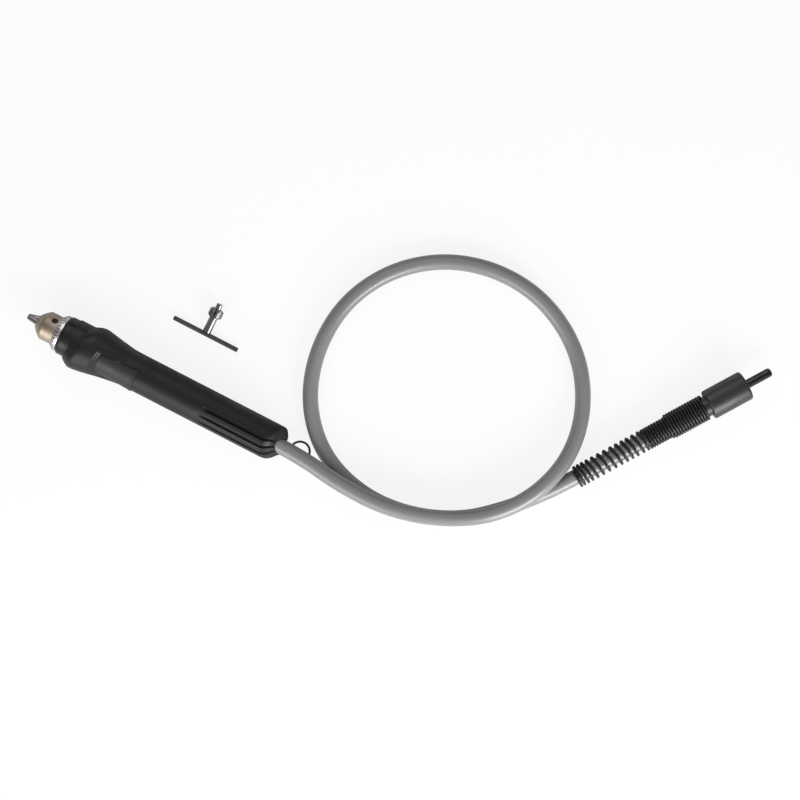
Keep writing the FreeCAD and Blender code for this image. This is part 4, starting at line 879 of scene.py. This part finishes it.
def makeRest(name, node, up):
    # saddle pad in its pocket: loop of (station, height) swept across its span, with rounded rims
    h = handle
    low, high = h["restLow"] + h["restInset"], h["restHigh"] - h["restInset"]
    column = np.unique(np.concatenate([
        np.linspace(low, high, 60), low + np.linspace(0, 1.4, 6),
        high - np.linspace(0, 1.4, 6)]))[None, :]
    front, rear = restFront + h["restGap"], restRear - h["restGap"]
    station = np.unique(np.concatenate([
        front + np.linspace(0, 0.5, 6), np.linspace(front, rear, 54),
        np.linspace(restRear - 4, rear, 16)]))[:, None]
    rim = np.minimum(np.minimum(station - front, rear - station),
                     np.minimum(column - low, high - column) * np.pi / 180 * h["restFloor"])
    rounded = h["restRound"] * (1 - np.sqrt(1 - np.clip(1 - rim / h["restRound"], 0, 1) ** 2))
    height = restFloor(station) - rounded
    x = bowed(station, column)
    angle = leaningAngles(station, column)
    c, s = np.cos(np.radians(angle)), np.sin(np.radians(angle))
    top = np.stack([x, height * c, height * s], axis=-1)
    root = h["restPocket"] + h["restRoot"]
    ends = [-1, 0]
    bottom = np.stack([x[ends], root * c[ends], root * s[ends]], axis=-1)
    points = np.concatenate([top, bottom])
    if up < 0:
        points[..., 2] *= -1
    return makePiece(name, points * mm, sweptFaces(*points.shape[:2]), "handle", "rest_plastic",
                     [node], h["sharp"])


# shiny ring: gap under the handle's lip, radius and roundings of its steps, depth of its seat
noseCap = {"gap": 0.05, "bore": 12.8, "boreEdge": 0.3, "round": 1.2, "rearEdge": 0.2,
           "seat": 14.4, "seatEdge": 0.1, "wall": 2}


def makeNoseCap():
    n = noseCap
    low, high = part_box("nose_cap")
    front, rear, outer = low.x / mm, high.x / mm, handle["frontLip"] - n["gap"]
    turnedPiece("noseCap", [
        (front, n["bore"], n["boreEdge"]), (front, outer, n["round"]), (rear, outer, n["rearEdge"]),
        (rear, n["seat"], n["seatEdge"]), (front + n["wall"], n["seat"], 0),
        (front + n["wall"], n["bore"], 0)],
        "handle", "black_gloss_metal", ["nose_cap"], steps=128)


lug = {
    # ear: sideways place, height of its hole, half-height, radius of the hole, thickness, reach
    # behind the handle's rear end and length ahead of that
    "side": 2.4, "drop": -12.2, "round": 3.2, "hole": 1.15, "wide": 2.4, "reach": 8.0,
    "long": 10.0, "steps": 96, "soft": 0.3,
    # foot that carries it: width, height of its top, how far its rear stays ahead of the end
    "foot": 9.0, "footTop": -8.6, "footShort": 1.6, "footSoft": 0.9}


def makeEar():
    # plate between its hole and a stadium outline, whose point in direction p lies at the smaller
    # of round / |sin p| and long / |cos p| ahead of the hole, and on the round end behind it
    g = lug
    turn = np.linspace(0, 2 * np.pi, g["steps"], endpoint=False)
    c, s = np.cos(turn), np.sin(turn)
    centre = handleRear + g["reach"] - g["round"]
    back = g["reach"] + g["long"] - g["round"]
    far = np.minimum(g["round"] / np.maximum(np.abs(s), 1e-6),
                     back / np.maximum(np.abs(c), 1e-6))
    far = np.where(c > 0, g["round"], far)
    hole = g["hole"] * np.ones(g["steps"])
    points = np.array([
        np.stack([centre + size * c, g["side"] + side * g["wide"] / 2 + 0 * c,
                  g["drop"] + size * s], axis=-1)
        for size, side in ((hole, -1), (far, -1), (far, 1), (hole, 1))])
    ear = makePiece("hangEar", points * mm, gridFaces(4, g["steps"], True, True), "handle",
                    "handle_plastic", ["lower_shell"])
    softEdges(ear, g["soft"], 3, 50)


def makeFoot():
    # block under the rear end: its corners go round at the bottom, then at the top
    g = lug
    x0, x1 = handleRear - g["long"], handleRear - g["footShort"]
    y0, y1 = g["side"] - g["foot"] / 2, g["side"] + g["foot"] / 2
    corners = np.array([[(x0, y0, z), (x1, y0, z), (x1, y1, z), (x0, y1, z)]
                        for z in (floorHeight, g["footTop"])])
    faces = gridFaces(2, 4, False, True).tolist() + [[0, 1, 2, 3], [4, 5, 6, 7]]
    foot = makePiece("hangFoot", corners * mm, faces, "handle", "handle_plastic", ["lower_shell"])
    softEdges(foot, g["footSoft"], 3, 35)


# counterbores in the underside: distance behind the handle's front and sideways for each pair of
# screws, depth below the floor's height that they start from, height they end at, and radius
sinks = {"pairs": [(15.1, 12.4), (64.0, 11.4), (158.5, 11.4)], "below": 2, "top": -5.2,
         "radius": 2.5}


def screwSinks():
    return [(handleFront + along, sign * side, floorHeight - sinks["below"], sinks["top"],
             sinks["radius"]) for along, side in sinks["pairs"] for sign in (-1, 1)]


makeShell("upperShell", "upper_shell", 1)
lowerShell = makeShell("lowerShell", "lower_shell", -1)
drill(lowerShell, screwSinks())
makeEar()
makeFoot()
makeRest("upperThumbRest", "upper_thumb_rest", 1)
makeRest("lowerThumbRest", "lower_thumb_rest", -1)
makeNoseCap()
print("handle made")


softenedCopy("chuck_body", "chuckBody", 0.25)
for number in (1, 2, 3):
    softenedCopy("jaw_%d" % number, "jaw%d" % number, 0.15)
softenedCopy("chuck_sleeve", "chuckSleeve", 0.18)
softenedCopy("key_shank", "keyShank", 0.15)
softenedCopy("key_bar", "keyBar", 0.2)
print("chuck and key made")


studio = {
    # place, width, height, power and colour of each soft lamp, all aimed at the tool's middle
    "lamps": [((0.95, -0.55, 0.5), 0.6, 0.6, 17.0, (1, 0.985, 0.965)),
              ((-0.2, -1.1, 0.5), 0.8, 0.8, 10.0, (1, 0.985, 0.965)),
              ((-0.55, 0.75, 0.9), 0.9, 0.9, 4.0, (0.97, 0.985, 1))],
    # light from all round, as the pieces and as the camera see it
    "sky": 0.30, "seenSky": 1.0,
    # floor: its size, colour, roughness and how much of it glows white for the camera
    "floor": 3.0, "floorWhite": 0.86, "floorRough": 0.9, "floorGlow": 0.86,
}


def makeFloor():
    look = Finish("floorWhite", Roughness=studio["floorRough"],
                  Base_Color=grey(studio["floorWhite"]))
    share = look.add("LightPath", output="Is Camera Ray") * studio["floorGlow"]
    glow = look.add("Emission", {}, {"Color": (1, 1, 1, 1), "Strength": 1.0})
    mixed = look.add("MixShader", {}, {0: share, 1: Value(look, look.shader.outputs[0]), 2: glow})
    look.tree.links.new(mixed.socket, look.tree.nodes["Material Output"].inputs["Surface"])
    half = studio["floor"] / 2
    centre = (cadLow + cadHigh) / 2
    corners = [(centre.x + a * half, centre.y + b * half, cadLow.z) for a, b in
               ((-1, -1), (1, -1), (1, 1), (-1, 1))]
    mesh = bpy.data.meshes.new("floor")
    mesh.from_pydata(corners, [], [(0, 1, 2, 3)])
    mesh.materials.append(look.material)
    floor = bpy.data.objects.new("floor", mesh)
    bpy.context.scene.collection.objects.link(floor)


def makeLight():
    middle = (cadLow + cadHigh) / 2
    for number, (place, width, height, power, colour) in enumerate(studio["lamps"]):
        lamp = bpy.data.lights.new("lamp%d" % number, "AREA")
        lamp.shape = "RECTANGLE"
        lamp.size = width
        lamp.size_y = height
        lamp.energy = power
        lamp.color = colour
        holder = bpy.data.objects.new("lamp%d" % number, lamp)
        holder.location = middle + Vector(place)
        holder.rotation_euler = Vector(place).to_track_quat("Z", "Y").to_euler()
        bpy.context.scene.collection.objects.link(holder)
    world = bpy.data.worlds.new("studio")
    bpy.context.scene.world = world
    world.use_nodes = True
    sky = world.node_tree.nodes["Background"]
    sky.inputs["Color"].default_value = (1, 1, 1, 1)
    path = world.node_tree.nodes.new("ShaderNodeLightPath")
    strength = world.node_tree.nodes.new("ShaderNodeMapRange")
    strength.inputs["To Min"].default_value = studio["sky"]
    strength.inputs["To Max"].default_value = studio["seenSky"]
    world.node_tree.links.new(path.outputs["Is Camera Ray"], strength.inputs["Value"])
    world.node_tree.links.new(strength.outputs[0], sky.inputs["Strength"])


makeFloor()
makeLight()
bpy.context.scene.view_settings.view_transform = "Standard"
print("floor and light made")
